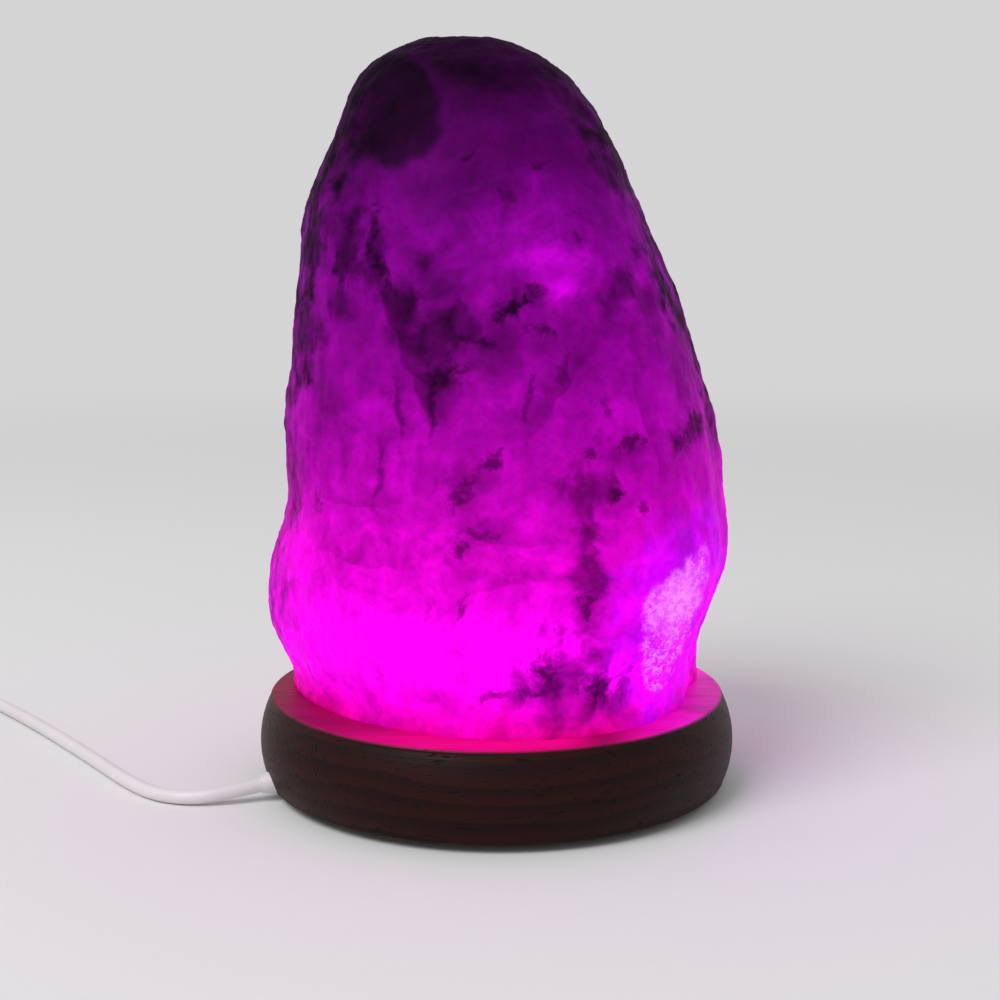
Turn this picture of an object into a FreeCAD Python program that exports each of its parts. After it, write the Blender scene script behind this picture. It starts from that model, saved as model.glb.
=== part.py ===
import FreeCAD, Part
import math
import os

# A salt crystal night light on a turned wooden base, with a thin low-voltage lead that ends in
# a flat four-contact plug. Millimetres, +Z up. The origin is on the table, under the middle of
# the base. The viewer stands at -Y.

V = FreeCAD.Vector
UP = V(0, 0, 1)
ORIGIN = V(0, 0, 0)

# ---- driving dimensions: fits, and how far a cutter runs past a face ----------------------
CLOSE_FIT = 0.05
EASY_FIT = 0.15
PAST = 1.0

# ---- driving dimensions: the screws --------------------------------------------------------
SCREW_RADIUS = 1.75
SCREW_HEAD = (3.2, 2.2)
SMALL_SCREW_RADIUS = 1.0
SMALL_SCREW_HEAD = (1.8, 1.3)
SHELL_SCREW_RADIUS = 0.8
SHELL_SCREW_HEAD = (1.8, 1.1)
CRYSTAL_SCREW_LENGTH = 22.0
HOUSING_SCREW_LENGTH = 7.5
CLAMP_SCREW_LENGTH = 9.0
COVER_SCREW_LENGTH = 7.5
COVER_SCREW_HEAD_RADIUS = 2.0
SHELL_SCREW_LENGTH = 6.0
WASHER_RADIUS = 4.0
WASHER_THICKNESS = 0.8
# Shares of the head's height and radius, and of the shank's radius.
HEAD_ROUND_SHARE = 0.4
CROSS_LENGTH_SHARE = 1.1
CROSS_WIDTH_SHARE = 0.26
CROSS_DEPTH_SHARE = 0.55
POINT_LENGTH_SHARE = 1.2
POINT_TIP_SHARE = 0.25

# ---- driving dimensions: the wooden base -------------------------------------------------
FOOT_HEIGHT = 1.5
BASE_TOP = 18.0
BASE_BELLY_RADIUS = 45.0
BASE_BELLY_Z = 9.3
BASE_RIM_RADIUS = 43.0
BASE_HEEL_RADIUS = 43.6
BASE_EDGE_ROUND = 0.8
RECESS_RADIUS = 33.0
RECESS_TOP = 10.0
COVER_RADIUS = 38.4
COVER_THICKNESS = 1.2
COVER_GAP = 0.2
WEB_HOLE_RADIUS = 13.5
FOOT_RADIUS = 4.0
FOOT_CIRCLE = 30.0
FOOT_ROUND = 0.5
COVER_SCREW_CIRCLE = 35.8
COVER_TOP = FOOT_HEIGHT + COVER_THICKNESS
CRYSTAL_SCREW_HOLE_RADIUS = SCREW_RADIUS + 0.25
HOUSING_PILOT_DEPTH = 6.5
COVER_PILOT_DEPTH = 7.0
CLAMP_PILOT_DEPTH = 4.0
GROOVE_REACH = 3.0

# ---- driving dimensions: the crystal -----------------------------------------------------
# Each row is a height and how far the crystal reaches left, right, front and back there.
CRYSTAL_REACH = [
    (18.0, -39.4, 38.1, -37.0, 37.0),
    (24.0, -40.6, 38.0, -38.2, 38.2),
    (30.0, -43.2, 39.5, -39.3, 39.0),
    (36.0, -43.7, 41.7, -39.6, 39.4),
    (44.0, -42.5, 43.4, -39.0, 38.8),
    (52.0, -40.7, 43.3, -37.8, 37.6),
    (65.8, -39.9, 41.3, -35.5, 35.2),
    (80.6, -38.4, 37.6, -32.8, 32.0),
    (95.3, -37.2, 32.2, -29.6, 28.2),
    (109.7, -35.1, 26.0, -25.6, 23.6),
    (120.3, -30.4, 21.2, -22.0, 19.4),
    (130.0, -26.4, 14.8, -16.8, 14.4),
    (135.4, -21.3, 8.5, -11.6, 9.2),
    (138.6, -13.4, 0.4, -5.4, 3.8),
]
CRYSTAL_LOBES = 3
CRYSTAL_LOBE_AZIMUTH = -80.0
CRYSTAL_LOBE_AT_FOOT = 0.065
CRYSTAL_LOBE_AT_TOP = 0.02
CRYSTAL_SQUARENESS = 2.3
CRYSTAL_OUTLINE_POINTS = 14
BORE_RADIUS = 15.0
BORE_TOP = 42.0
ANCHOR_CIRCLE = 27.0
ANCHOR_RADIUS = 3.0
ANCHOR_LENGTH = 16.0
ANCHOR_END = 1.5
ANCHOR_SLIT_WIDTH = 0.8
ANCHOR_SLIT_START = 5.0
ANCHOR_HOLE_DEPTH = 17.0

# ---- driving dimensions: the light unit --------------------------------------------------
FLANGE_RADIUS = 18.0
FLANGE_BOTTOM = 8.4
NECK_RADIUS = 13.2
NECK_BORE_RADIUS = 11.8
NECK_TOP = 18.8
LEDGE_RADIUS = 10.4
LEDGE_BOTTOM = 12.0
BOARD_BOTTOM = 13.0
BOARD_THICKNESS = 1.2
BOARD_RADIUS = 11.6
LED_COUNT = 6
LED_CIRCLE = 7.4
LED_SIZE = 5.0
LED_HEIGHT = 1.6
LED_WELL_RADII = (1.5, 2.0)
LED_WELL_DEPTH = 0.6
LED_AZIMUTH_STEP = 30.0
LENS_SKIRT_RADIUS = 11.6
LENS_WALL = 1.1
LENS_BRIM_TOP = 19.8
LENS_TOP = 26.8
HOUSING_SCREW_CIRCLE = 15.8
LEAD_WAY = 5.6

# ---- driving dimensions: what hangs under the circuit board --------------------------------
CHIP_SIZE = (5.0, 4.0)
CHIP_HEIGHTS = (0.15, 1.5)
CHIP_ROUND = 0.25
CHIP_LEG_PITCH = 1.27
CHIP_LEGS_PER_SIDE = 4
CHIP_LEG_WIDTH = 0.4
CHIP_LEG_REACH = (1.9, 3.1)
CHIP_LEG_THICKNESS = 0.4
RESISTOR_SIZE = (2.0, 1.2, 0.55)
RESISTOR_CIRCLE = 7.0
RESISTOR_STEP = 32.0
CAPACITOR_SIZE = (3.2, 1.6, 1.4)
CAPACITOR_CIRCLE = 6.5
BOARD_HOLE_RADIUS = 0.6

# ---- driving dimensions: the lead --------------------------------------------------------
CORD_DIAMETER = 2.6
CORD_AZIMUTH = 199.0
CORD_SLOPE = 8.0
CORD_Z_AT_RIM = 3.4
CORD_RIM_RADIUS = 44.0
GROMMET_TIP_RADIUS = 46.0
ARC_SHARE = 0.45
WIRE_DIAMETER = 1.1

# ---- driving dimensions: how the lead is held in the base ----------------------------------
SLEEVE_RADIUS = 2.2
SLEEVE_TIP_RADIUS = 1.6
SLEEVE_END_RADIUS = 43.6
GROMMET_FLANGE = 1.4
GROMMET_FLANGE_EDGE = 1.0
GROMMET_FLANGE_GAP = 0.7
INNER_LEAD_RADIUS = 42.2
INNER_LEAD_TURN_RADIUS = 30.5
GROMMET_BORE_START = 2.0
CLAMP_RADIUS = 23.2
CLAMP_LENGTH = 4.6
CLAMP_HALF_WIDTH = 7.2
CLAMP_SCREW_OFFSET = 5.0
CLAMP_BOTTOM = 4.2
CLAMP_ROUND = 1.0
CLAMPED_Z = 6.6
CLAMP_APPROACH = 3.2
JACKET_END_RADIUS = 19.8
# The bare conductors: how far apart they leave the jacket, and where they go up through the board.
LEAD_SPREAD = 0.62
LEAD_BOARD_RADIUS = 8.2
LEAD_BOARD_SPREAD = 2.6
# Their two bends: radius from the lamp's axis, height above the clamped jacket, spread.
CONDUCTOR_BENDS = [(17.4, 0.35, 0.62), (12.8, 0.6, 1.1)]
CONDUCTOR_RISE = 1.0

# The lead from the grommet to the switch: along the table, out of sight to the left, round a
# wide bend and up into the end of the switch.
LAMP_TO_SWITCH = [
    (-43.5, -15.0, 3.12),
    (-47.7, -16.4, 2.45),
    (-55.3, -17.8, 1.45),
    (-62.6, -15.4, 1.35),
    (-69.2, -8.3, 1.35),
    (-78.5, 5.4, 1.35),
    (-92.9, 25.8, 1.35),
    (-108.0, 45.5, 1.35),
    (-119.5, 58.0, 1.35),
    (-133.0, 65.5, 1.35),
    (-147.0, 63.5, 1.35),
    (-154.5, 55.0, 1.7),
    (-157.0, 45.0, 4.6),
    (-157.0, 35.2, 4.6),
]
# From the switch down to the table and into the coil.
SWITCH_TO_COIL = [
    (-157.0, -2.2, 4.6),
    (-157.0, -9.0, 4.6),
    (-157.0, -16.9, 1.35),
    (-157.0, -23.4, 1.35),
]
# The coil: half turns of rising and falling radius, piled in four layers.
COIL_INNER_RADIUS = 11.5
COIL_PITCH = 3.05
COIL_LEVELS = 5
# Off the top of the coil and down into the plug: distances along the lead's heading, heights.
COIL_TO_PLUG = [(0.0, 10.5), (8.0, 10.5), (19.0, 4.05), (27.0, 4.05)]

# ---- driving dimensions: the in-line switch ----------------------------------------------
SWITCH_LENGTH = 40.0
SWITCH_WIDTH = 15.0
SWITCH_HEIGHT = 10.4
SWITCH_SPLIT = 4.6
SWITCH_WALL = 1.3
SWITCH_CORNER = 3.5
SWITCH_EDGE = 1.2
ROCKER_WINDOW = (12.8, 7.2)
ROCKER_WIDTH = 6.6
ROCKER_PIVOT_Z = 8.2
ROCKER_PIN_RADIUS = 0.8
ROCKER_PIN_FIT = 0.08
ROCKER_TILT = 8.0
# The side of the rocker, round its pivot: a shallow V on top, a keel below.
ROCKER_OUTLINE = [(-5.7, 2.9), (0.0, 2.1), (5.7, 2.9), (5.4, 0.6), (1.5, -2.1), (-1.5, -2.1), (-5.4, 0.6)]
ROCKER_TIP_ROUND = 0.5
ROCKER_PIN_PAST_WINDOW = 1.2
LUG_HALF_LENGTH = 2.2
LUG_THICKNESS = 1.4
LUG_BELOW_PIVOT = 2.0
POST_RADIUS = 2.2
SHELL_SCREW_OFFSET = 14.6
SHELL_SCREW_SIDE = 4.2
SHELL_SCREW_HOLE_RADIUS = 1.15
SHELL_SCREW_SEAT_RADIUS = 2.0
SHELL_SCREW_SEAT_DEPTH = 1.5
SHELL_PILOT_RADIUS = 0.85
SHELL_PILOT_ROOF = 0.4
SWITCH_CENTRE = V(LAMP_TO_SWITCH[-1][0], (LAMP_TO_SWITCH[-1][1] + SWITCH_TO_COIL[0][1]) / 2, 0)
SWITCH_TURN = -90.0
CORD_HOLE_RADIUS = CORD_DIAMETER / 2 + CLOSE_FIT
# Inside the switch, measured from its middle along its length and across it.
TERMINAL_X = (3.2, 9.4)
TERMINAL_Y = (3.0, 5.6)
TERMINAL_SHEET = 0.5
TERMINAL_POST = (0.6, 3.0)
LEAF_X = 4.4
LEAF_Y = (3.2, 5.4)
LEAF_HEIGHTS = (3.05, 3.35)
LEAF_ARM_HALF_WIDTH = 1.2
LEAF_ARM_END = -2.0
# Conductor bends: distance in from the shell's end, across, height above the floor of the shell.
BLACK_BENDS = [(0.0, -0.62, 3.3), (4.0, -0.9, 2.8), (8.6, -3.4, 1.1)]
RED_BENDS = [(0.0, 0.62, 3.3), (4.0, 0.9, 2.9), (7.6, 1.9, 1.3), (11.3, 3.1, 1.1)]

# ---- driving dimensions: the plug --------------------------------------------------------
PLUG_GRIP_LENGTH = 18.0
PLUG_GRIP_WIDTH = 15.4
PLUG_GRIP_HEIGHT = 7.9
PLUG_TAPER_LENGTH = 8.0
PLUG_SHELL_WIDTH = 12.0
PLUG_SHELL_HEIGHT = 4.5
PLUG_SHELL_OUT = 12.0
PLUG_SHELL_SHEET = 0.3
PLUG_TONGUE_HEIGHT = 1.9
PLUG_TONGUE_BEHIND_TIP = 0.6
PLUG_TAPER_RADII = (2.2, 3.4)
PLUG_RIB_GROOVES = (2.2, 4.2, 6.2)
PLUG_RIB_WIDTH = 0.8
PLUG_RIB_CORE = (1.9, 0.1)
PLUG_GRIP_ROUND = 1.6
GRIP_GROOVES = (14.5, 17.0, 19.5)
GRIP_GROOVE_WIDTH = 1.0
GRIP_GROOVE_HALF_LENGTH = 5.0
GRIP_GROOVE_DEPTH = 0.4
PLUG_SHELL_INSIDE_GRIP = 6.0
SHELL_WINDOW_SIDE = 3.3
SHELL_WINDOW_HALF_WIDTH = 1.15
SHELL_WINDOW_START = 5.2
SHELL_WINDOW_LENGTH = 2.5
CONTACT_PITCHES = (-3.5, -1.0, 1.0, 3.5)
CONTACT_HALF_WIDTH = 0.5
CONTACT_THICKNESS = 0.25
CONTACT_START = 0.5
OUTER_CONTACT_BEHIND_TIP = 2.0
INNER_CONTACT_BEHIND_TIP = 3.0
# Along the plug, from where the lead enters it.
GRIP_END = PLUG_TAPER_LENGTH + PLUG_GRIP_LENGTH
SHELL_START = GRIP_END - PLUG_SHELL_INSIDE_GRIP
SHELL_END = GRIP_END + PLUG_SHELL_OUT
TONGUE_BOTTOM = PLUG_SHELL_SHEET - PLUG_SHELL_HEIGHT / 2
TONGUE_TOP = TONGUE_BOTTOM + PLUG_TONGUE_HEIGHT


# ---- small helpers -----------------------------------------------------------------------
def polar(radius, degrees, z=0.0):
    angle = math.radians(degrees)
    return V(radius * math.cos(angle), radius * math.sin(angle), z)


def rod(radius, z0, z1, centre=ORIGIN):
    return Part.makeCylinder(radius, z1 - z0, centre + V(0, 0, z0))


def turned(outline):
    """A closed outline of (radius, z) corners, turned round the Z axis."""
    corners = [V(r, 0, z) for r, z in outline]
    face = Part.Face(Part.makePolygon(corners + corners[:1]))
    return face.revolve(ORIGIN, UP, 360)


def block(x0, x1, y0, y1, z0, z1):
    return Part.makeBox(x1 - x0, y1 - y0, z1 - z0, V(x0, y0, z0))


def rounded_block(length, width, z0, z1, corner):
    """A block round the Z axis whose four upright edges are rounded."""
    body = block(-length / 2, length / 2, -width / 2, width / 2, z0, z1)
    upright = [e for e in body.Edges if e.BoundBox.ZLength > (z1 - z0) / 2]
    return body.makeFillet(corner, upright)


def cross(length, width, z0, z1):
    """The two bars of a cross recess."""
    return [
        block(-length / 2, length / 2, -width / 2, width / 2, z0, z1),
        block(-width / 2, width / 2, -length / 2, length / 2, z0, z1),
    ]


def edges_at(body, z):
    """The edges that lie flat at one height."""
    return [e for e in body.Edges if e.BoundBox.ZLength < 1e-6 and abs(e.BoundBox.ZMin - z) < 1e-6]


def turned_about_z(shape, degrees, place=ORIGIN):
    moved = shape.copy()
    moved.rotate(ORIGIN, UP, degrees)
    moved.translate(place)
    return moved


def save(name, *solids):
    """One file per piece, or per set of like pieces."""
    shape = solids[0] if len(solids) == 1 else Part.makeCompound(list(solids))
    shape.exportStep("parts/" + name + ".step")
    print(name, len(shape.Solids), "solid(s)", round(shape.Volume, 1), "mm3", shape.isValid())


def screw(head, shank_radius, length, under_head):
    """A pan head screw that points up, with a cross recess and a point."""
    head_radius, head_height = head
    body = rod(head_radius, -head_height, 0)
    body = body.makeFillet(head_height * HEAD_ROUND_SHARE, edges_at(body, -head_height))
    tip = shank_radius * POINT_LENGTH_SHARE
    shank = rod(shank_radius, 0, length - tip)
    point = Part.makeCone(shank_radius, shank_radius * POINT_TIP_SHARE, tip, V(0, 0, length - tip))
    bar_length = head_radius * CROSS_LENGTH_SHARE
    bar_width = head_radius * CROSS_WIDTH_SHARE
    recess = cross(bar_length, bar_width, -head_height, head_height * (CROSS_DEPTH_SHARE - 1))
    body = body.fuse([shank, point]).cut(recess).removeSplitter()
    body.translate(under_head)
    return body


# ---- paths and tubes ---------------------------------------------------------------------
def rounded_path(points):
    """Straight runs joined by tangent arcs, each as large as its two runs allow."""
    corners = [V(*p) for p in points]
    edges = []
    radii = []
    start = corners[0]
    for before, corner, after in zip(corners, corners[1:], corners[2:]):
        back = before - corner
        ahead = after - corner
        reach = ARC_SHARE * min(back.Length, ahead.Length)
        back.normalize()
        ahead.normalize()
        half_turn = (math.pi - back.getAngle(ahead)) / 2
        radius = reach / math.tan(half_turn)
        inward = back + ahead
        inward.normalize()
        enter = corner + back * reach
        leave = corner + ahead * reach
        middle = corner + inward * (radius / math.cos(half_turn) - radius)
        edges.append(Part.LineSegment(start, enter).toShape())
        edges.append(Part.Arc(enter, middle, leave).toShape())
        radii.append(radius)
        start = leave
    edges.append(Part.LineSegment(start, corners[-1]).toShape())
    return Part.Wire(edges), radii


def tube(path, diameter, start, heading):
    """A round tube along a path."""
    ring = Part.Wire(Part.makeCircle(diameter / 2, start, heading))
    return path.makePipeShell([ring], True, False)


def cord_tube(name, points, diameter=CORD_DIAMETER):
    """A stretch of lead. Prints its tightest bends and checks its volume."""
    path, radii = rounded_path(points)
    first = V(*points[0])
    solid = tube(path, diameter, first, V(*points[1]) - first)
    expected = math.pi * diameter ** 2 / 4 * path.Length
    print(name, "length", round(path.Length, 1), "radii", [round(r, 1) for r in radii],
          "volume over section x length", round(solid.Volume / expected, 4))
    return solid


def arc_middle(start, heading, end):
    """Half way along the arc that leaves start along heading and ends at end."""
    chord = end - start
    along = V(chord)
    along.normalize()
    side = heading - along * heading.dot(along)
    side.normalize()
    bend = heading.getAngle(along)
    return start + chord * 0.5 + side * (chord.Length / 2 * math.tan(bend / 2))


def biarc(start, heading, end, end_heading):
    """Two arcs that share a tangent where they join."""
    span = end - start
    both = heading + end_heading
    spread = 2 * (1 - heading.dot(end_heading))
    reach = (math.sqrt(span.dot(both) ** 2 + spread * span.dot(span)) - span.dot(both)) / spread
    joint = (start + heading * reach + end - end_heading * reach) * 0.5
    first_middle = arc_middle(start, heading, joint)
    second_middle = arc_middle(end, end_heading * -1, joint)
    return [Part.Arc(start, first_middle, joint), Part.Arc(joint, second_middle, end)]


def coil_half_turns():
    """(radius, climb) of each half turn: in, up, out, up, in, up, out."""
    inner_to_outer = list(range(1, COIL_LEVELS))
    going_in = [(level, 0) for level in reversed(inner_to_outer)]
    going_out = [(level, 0) for level in inner_to_outer]
    at_inside = [(0, COIL_PITCH)]
    at_outside = [(COIL_LEVELS, COIL_PITCH)]
    pile = going_in + at_inside + going_out
    turns = pile + at_outside + pile
    return [(COIL_INNER_RADIUS + level * COIL_PITCH / 2, climb) for level, climb in turns]


def coil_path(start):
    """The centre line of the coil, with a straight end of one diameter at each end."""
    heading = V(0, -1, 0)
    here = start + heading * CORD_DIAMETER
    edges = [Part.LineSegment(start, here).toShape()]
    side = 1
    for radius, climb in coil_half_turns():
        there = here + V(side * 2 * radius, 0, climb)
        edges += [arc.toShape() for arc in biarc(here, heading, there, heading * -1)]
        here = there
        heading = heading * -1
        side = -side
    end = here + heading * CORD_DIAMETER
    edges.append(Part.LineSegment(here, end).toShape())
    return edges, end


def least_gap(edges, diameter, step=1.0):
    """The least distance between turns that aren't next to each other along the tube."""
    points = []
    travelled = 0.0
    for edge in edges:
        count = max(2, int(edge.Length / step))
        for i in range(count):
            share = i / count
            at = edge.FirstParameter + share * (edge.LastParameter - edge.FirstParameter)
            points.append((travelled + share * edge.Length, edge.valueAt(at)))
        travelled += edge.Length
    best = 1e9
    far_apart = 4 * diameter
    for i, (s, p) in enumerate(points):
        for t, q in points[i + 1:]:
            if t - s > far_apart:
                best = min(best, p.distanceToPoint(q))
    return best - diameter


# ---- the crystal -------------------------------------------------------------------------
def fit_to(values, low, high):
    """Stretches a list of numbers so that it just spans low to high."""
    lowest = min(values)
    scale = (high - low) / (max(values) - lowest)
    return [low + (v - lowest) * scale for v in values]


def crystal_outline(z, left, right, front, back):
    """A rounded outline with three soft corners, as wide and deep as the crystal is there."""
    rise = (z - BASE_TOP) / (CRYSTAL_REACH[-1][0] - BASE_TOP)
    lobe = CRYSTAL_LOBE_AT_FOOT + (CRYSTAL_LOBE_AT_TOP - CRYSTAL_LOBE_AT_FOOT) * rise
    xs = []
    ys = []
    for i in range(CRYSTAL_OUTLINE_POINTS):
        angle = 2 * math.pi * i / CRYSTAL_OUTLINE_POINTS
        c = math.cos(angle)
        s = math.sin(angle)
        swell = 1 + lobe * math.cos(CRYSTAL_LOBES * (angle - math.radians(CRYSTAL_LOBE_AZIMUTH)))
        squared = (abs(c) ** CRYSTAL_SQUARENESS + abs(s) ** CRYSTAL_SQUARENESS) ** (1 / CRYSTAL_SQUARENESS)
        xs.append(c * swell / squared)
        ys.append(s * swell / squared)
    xs = fit_to(xs, left, right)
    ys = fit_to(ys, front, back)
    curve = Part.BSplineCurve()
    curve.interpolate([V(x, y, z) for x, y in zip(xs, ys)], PeriodicFlag=True)
    return Part.Wire(curve.toShape())


def crystal_places():
    """Azimuths of the three screws that hold the crystal, clear of the lead."""
    return [CORD_AZIMUTH + 60, CORD_AZIMUTH + 180, CORD_AZIMUTH + 300]


def salt_crystal():
    body = Part.makeLoft([crystal_outline(*row) for row in CRYSTAL_REACH], True, False)
    body = body.cut(rod(BORE_RADIUS, BASE_TOP - PAST, BORE_TOP))
    hole_radius = ANCHOR_RADIUS + CLOSE_FIT
    hole_top = BASE_TOP + ANCHOR_HOLE_DEPTH
    for azimuth in crystal_places():
        body = body.cut(rod(hole_radius, BASE_TOP - PAST, hole_top, polar(ANCHOR_CIRCLE, azimuth)))
    save("salt_crystal", body)


# ---- the wooden base ---------------------------------------------------------------------
def lead_axis(radius):
    """A point on the sloping line that the lead follows through the base."""
    drop = (CORD_RIM_RADIUS - radius) * math.tan(math.radians(CORD_SLOPE))
    return polar(radius, CORD_AZIMUTH, CORD_Z_AT_RIM + drop)


def lead_heading():
    return (lead_axis(BASE_BELLY_RADIUS) - lead_axis(RECESS_RADIUS)).normalize()


def wood_blank():
    """The turned outside: a bellied side between two small rounded edges."""
    r = BASE_EDGE_ROUND
    heel = V(BASE_HEEL_RADIUS, 0, FOOT_HEIGHT + r)
    rim = V(BASE_RIM_RADIUS, 0, BASE_TOP - r)
    cut_back = r - r * math.cos(math.radians(45))
    heel_middle = V(BASE_HEEL_RADIUS - cut_back, 0, FOOT_HEIGHT + cut_back)
    rim_middle = V(BASE_RIM_RADIUS - cut_back, 0, BASE_TOP - cut_back)
    heel_start = V(BASE_HEEL_RADIUS - r, 0, FOOT_HEIGHT)
    rim_end = V(BASE_RIM_RADIUS - r, 0, BASE_TOP)
    bottom = V(0, 0, FOOT_HEIGHT)
    top = V(0, 0, BASE_TOP)
    edges = [
        Part.LineSegment(bottom, heel_start).toShape(),
        Part.Arc(heel_start, heel_middle, heel).toShape(),
        Part.Arc(heel, V(BASE_BELLY_RADIUS, 0, BASE_BELLY_Z), rim).toShape(),
        Part.Arc(rim, rim_middle, rim_end).toShape(),
        Part.LineSegment(rim_end, top).toShape(),
        Part.LineSegment(top, bottom).toShape(),
    ]
    return Part.Face(Part.Wire(edges)).revolve(ORIGIN, UP, 360)


def lead_groove(radius, inner, outer):
    """What the sleeve of the grommet slides into from below."""
    start = lead_axis(inner)
    heading = lead_heading()
    length = outer - inner
    groove = Part.makeCylinder(radius, length, start, heading)
    slot = block(0, length, -radius, radius, -2 * BASE_TOP, 0)
    slot.rotate(ORIGIN, V(0, 1, 0), CORD_SLOPE)
    slot = turned_about_z(slot, CORD_AZIMUTH, start)
    return groove.fuse(slot)


def wood_base():
    body = wood_blank()
    body = body.cut(rod(RECESS_RADIUS, FOOT_HEIGHT - PAST, RECESS_TOP))
    body = body.cut(rod(COVER_RADIUS + COVER_GAP, FOOT_HEIGHT - PAST, COVER_TOP))
    body = body.cut(rod(WEB_HOLE_RADIUS, RECESS_TOP - PAST, BASE_TOP + PAST))
    groove_start = RECESS_RADIUS - GROOVE_REACH
    groove_end = BASE_BELLY_RADIUS + GROOVE_REACH
    body = body.cut(lead_groove(SLEEVE_RADIUS + CLOSE_FIT, groove_start, groove_end))
    for azimuth in crystal_places():
        through = polar(ANCHOR_CIRCLE, azimuth)
        body = body.cut(rod(CRYSTAL_SCREW_HOLE_RADIUS, RECESS_TOP - PAST, BASE_TOP + PAST, through))
        pilot = polar(HOUSING_SCREW_CIRCLE, azimuth)
        body = body.cut(rod(SMALL_SCREW_RADIUS, RECESS_TOP - PAST, RECESS_TOP + HOUSING_PILOT_DEPTH, pilot))
        pilot = polar(COVER_SCREW_CIRCLE, azimuth)
        body = body.cut(rod(SMALL_SCREW_RADIUS, COVER_TOP - PAST, COVER_TOP + COVER_PILOT_DEPTH, pilot))
    for place in clamp_screw_places():
        body = body.cut(rod(SMALL_SCREW_RADIUS, RECESS_TOP - PAST, RECESS_TOP + CLAMP_PILOT_DEPTH, place))
    save("wood_base", body)


def crystal_anchor(azimuth):
    """A plastic plug with a slit, in its hole in the salt."""
    at = polar(ANCHOR_CIRCLE, azimuth)
    top = BASE_TOP + ANCHOR_LENGTH
    anchor = rod(ANCHOR_RADIUS, BASE_TOP, top, at)
    anchor = anchor.cut(rod(SCREW_RADIUS + CLOSE_FIT, BASE_TOP - PAST, top - ANCHOR_END, at))
    reach = ANCHOR_RADIUS + PAST
    half_slit = ANCHOR_SLIT_WIDTH / 2
    slit = block(-reach, reach, -half_slit, half_slit, BASE_TOP + ANCHOR_SLIT_START, top + PAST)
    return anchor.cut(turned_about_z(slit, azimuth, at))


def crystal_fixings():
    """The screws that come up through the wood, their washers and the anchors in the salt."""
    screws = []
    washers = []
    washer_bottom = RECESS_TOP - WASHER_THICKNESS
    for azimuth in crystal_places():
        at = polar(ANCHOR_CIRCLE, azimuth)
        screws.append(screw(SCREW_HEAD, SCREW_RADIUS, CRYSTAL_SCREW_LENGTH, at + V(0, 0, washer_bottom)))
        washer = rod(WASHER_RADIUS, washer_bottom, RECESS_TOP, at)
        washers.append(washer.cut(rod(SCREW_RADIUS + EASY_FIT, washer_bottom - PAST, RECESS_TOP + PAST, at)))
    save("crystal_screws", *screws)
    save("crystal_washers", *washers)
    save("crystal_anchors", *[crystal_anchor(azimuth) for azimuth in crystal_places()])


def base_cover():
    body = rod(COVER_RADIUS, FOOT_HEIGHT, COVER_TOP)
    body = body.cut(lead_groove(SLEEVE_RADIUS + EASY_FIT, INNER_LEAD_TURN_RADIUS, BASE_BELLY_RADIUS))
    sink = Part.makeCone(COVER_SCREW_HEAD_RADIUS + CLOSE_FIT, SMALL_SCREW_RADIUS + CLOSE_FIT, COVER_THICKNESS)
    for azimuth in crystal_places():
        body = body.cut(turned_about_z(sink, 0, polar(COVER_SCREW_CIRCLE, azimuth, FOOT_HEIGHT)))
    save("base_cover", body)


def cover_screws():
    """Countersunk, flush with the cover."""
    shank_radius = SMALL_SCREW_RADIUS - CLOSE_FIT
    head = Part.makeCone(COVER_SCREW_HEAD_RADIUS, shank_radius, COVER_THICKNESS)
    shank = rod(shank_radius, COVER_THICKNESS, COVER_SCREW_LENGTH)
    head_radius = COVER_SCREW_HEAD_RADIUS
    recess = cross(head_radius, head_radius * CROSS_WIDTH_SHARE, -PAST, COVER_THICKNESS / 2)
    body = head.fuse(shank).cut(recess).removeSplitter()
    places = [polar(COVER_SCREW_CIRCLE, azimuth, FOOT_HEIGHT) for azimuth in crystal_places()]
    save("cover_screws", *[turned_about_z(body, 0, place) for place in places])


def rubber_feet():
    foot = rod(FOOT_RADIUS, 0, FOOT_HEIGHT)
    foot = foot.makeFillet(FOOT_ROUND, edges_at(foot, 0))
    places = [polar(FOOT_CIRCLE, CORD_AZIMUTH + azimuth) for azimuth in (45, 135, 225, 315)]
    save("rubber_feet", *[turned_about_z(foot, 0, place) for place in places])


# ---- the light unit ----------------------------------------------------------------------
def led_housing():
    body = turned([
        (NECK_RADIUS, FLANGE_BOTTOM), (FLANGE_RADIUS, FLANGE_BOTTOM), (FLANGE_RADIUS, RECESS_TOP),
        (NECK_RADIUS, RECESS_TOP), (NECK_RADIUS, NECK_TOP), (NECK_BORE_RADIUS, NECK_TOP),
        (NECK_BORE_RADIUS, BOARD_BOTTOM), (LEDGE_RADIUS, BOARD_BOTTOM), (LEDGE_RADIUS, LEDGE_BOTTOM),
        (NECK_BORE_RADIUS, LEDGE_BOTTOM), (NECK_BORE_RADIUS, FLANGE_BOTTOM),
    ])
    for azimuth in crystal_places():
        at = polar(HOUSING_SCREW_CIRCLE, azimuth)
        body = body.cut(rod(SMALL_SCREW_RADIUS + EASY_FIT, FLANGE_BOTTOM - PAST, RECESS_TOP + PAST, at))
    way_in = block(LEDGE_RADIUS - PAST, FLANGE_RADIUS + PAST, -LEAD_WAY / 2, LEAD_WAY / 2,
                   FLANGE_BOTTOM - PAST, RECESS_TOP)
    body = body.cut(turned_about_z(way_in, CORD_AZIMUTH))
    save("led_housing", body)


def housing_screws():
    screws = []
    for azimuth in crystal_places():
        at = polar(HOUSING_SCREW_CIRCLE, azimuth, FLANGE_BOTTOM)
        screws.append(screw(SMALL_SCREW_HEAD, SMALL_SCREW_RADIUS - CLOSE_FIT, HOUSING_SCREW_LENGTH, at))
    save("housing_screws", *screws)


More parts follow.
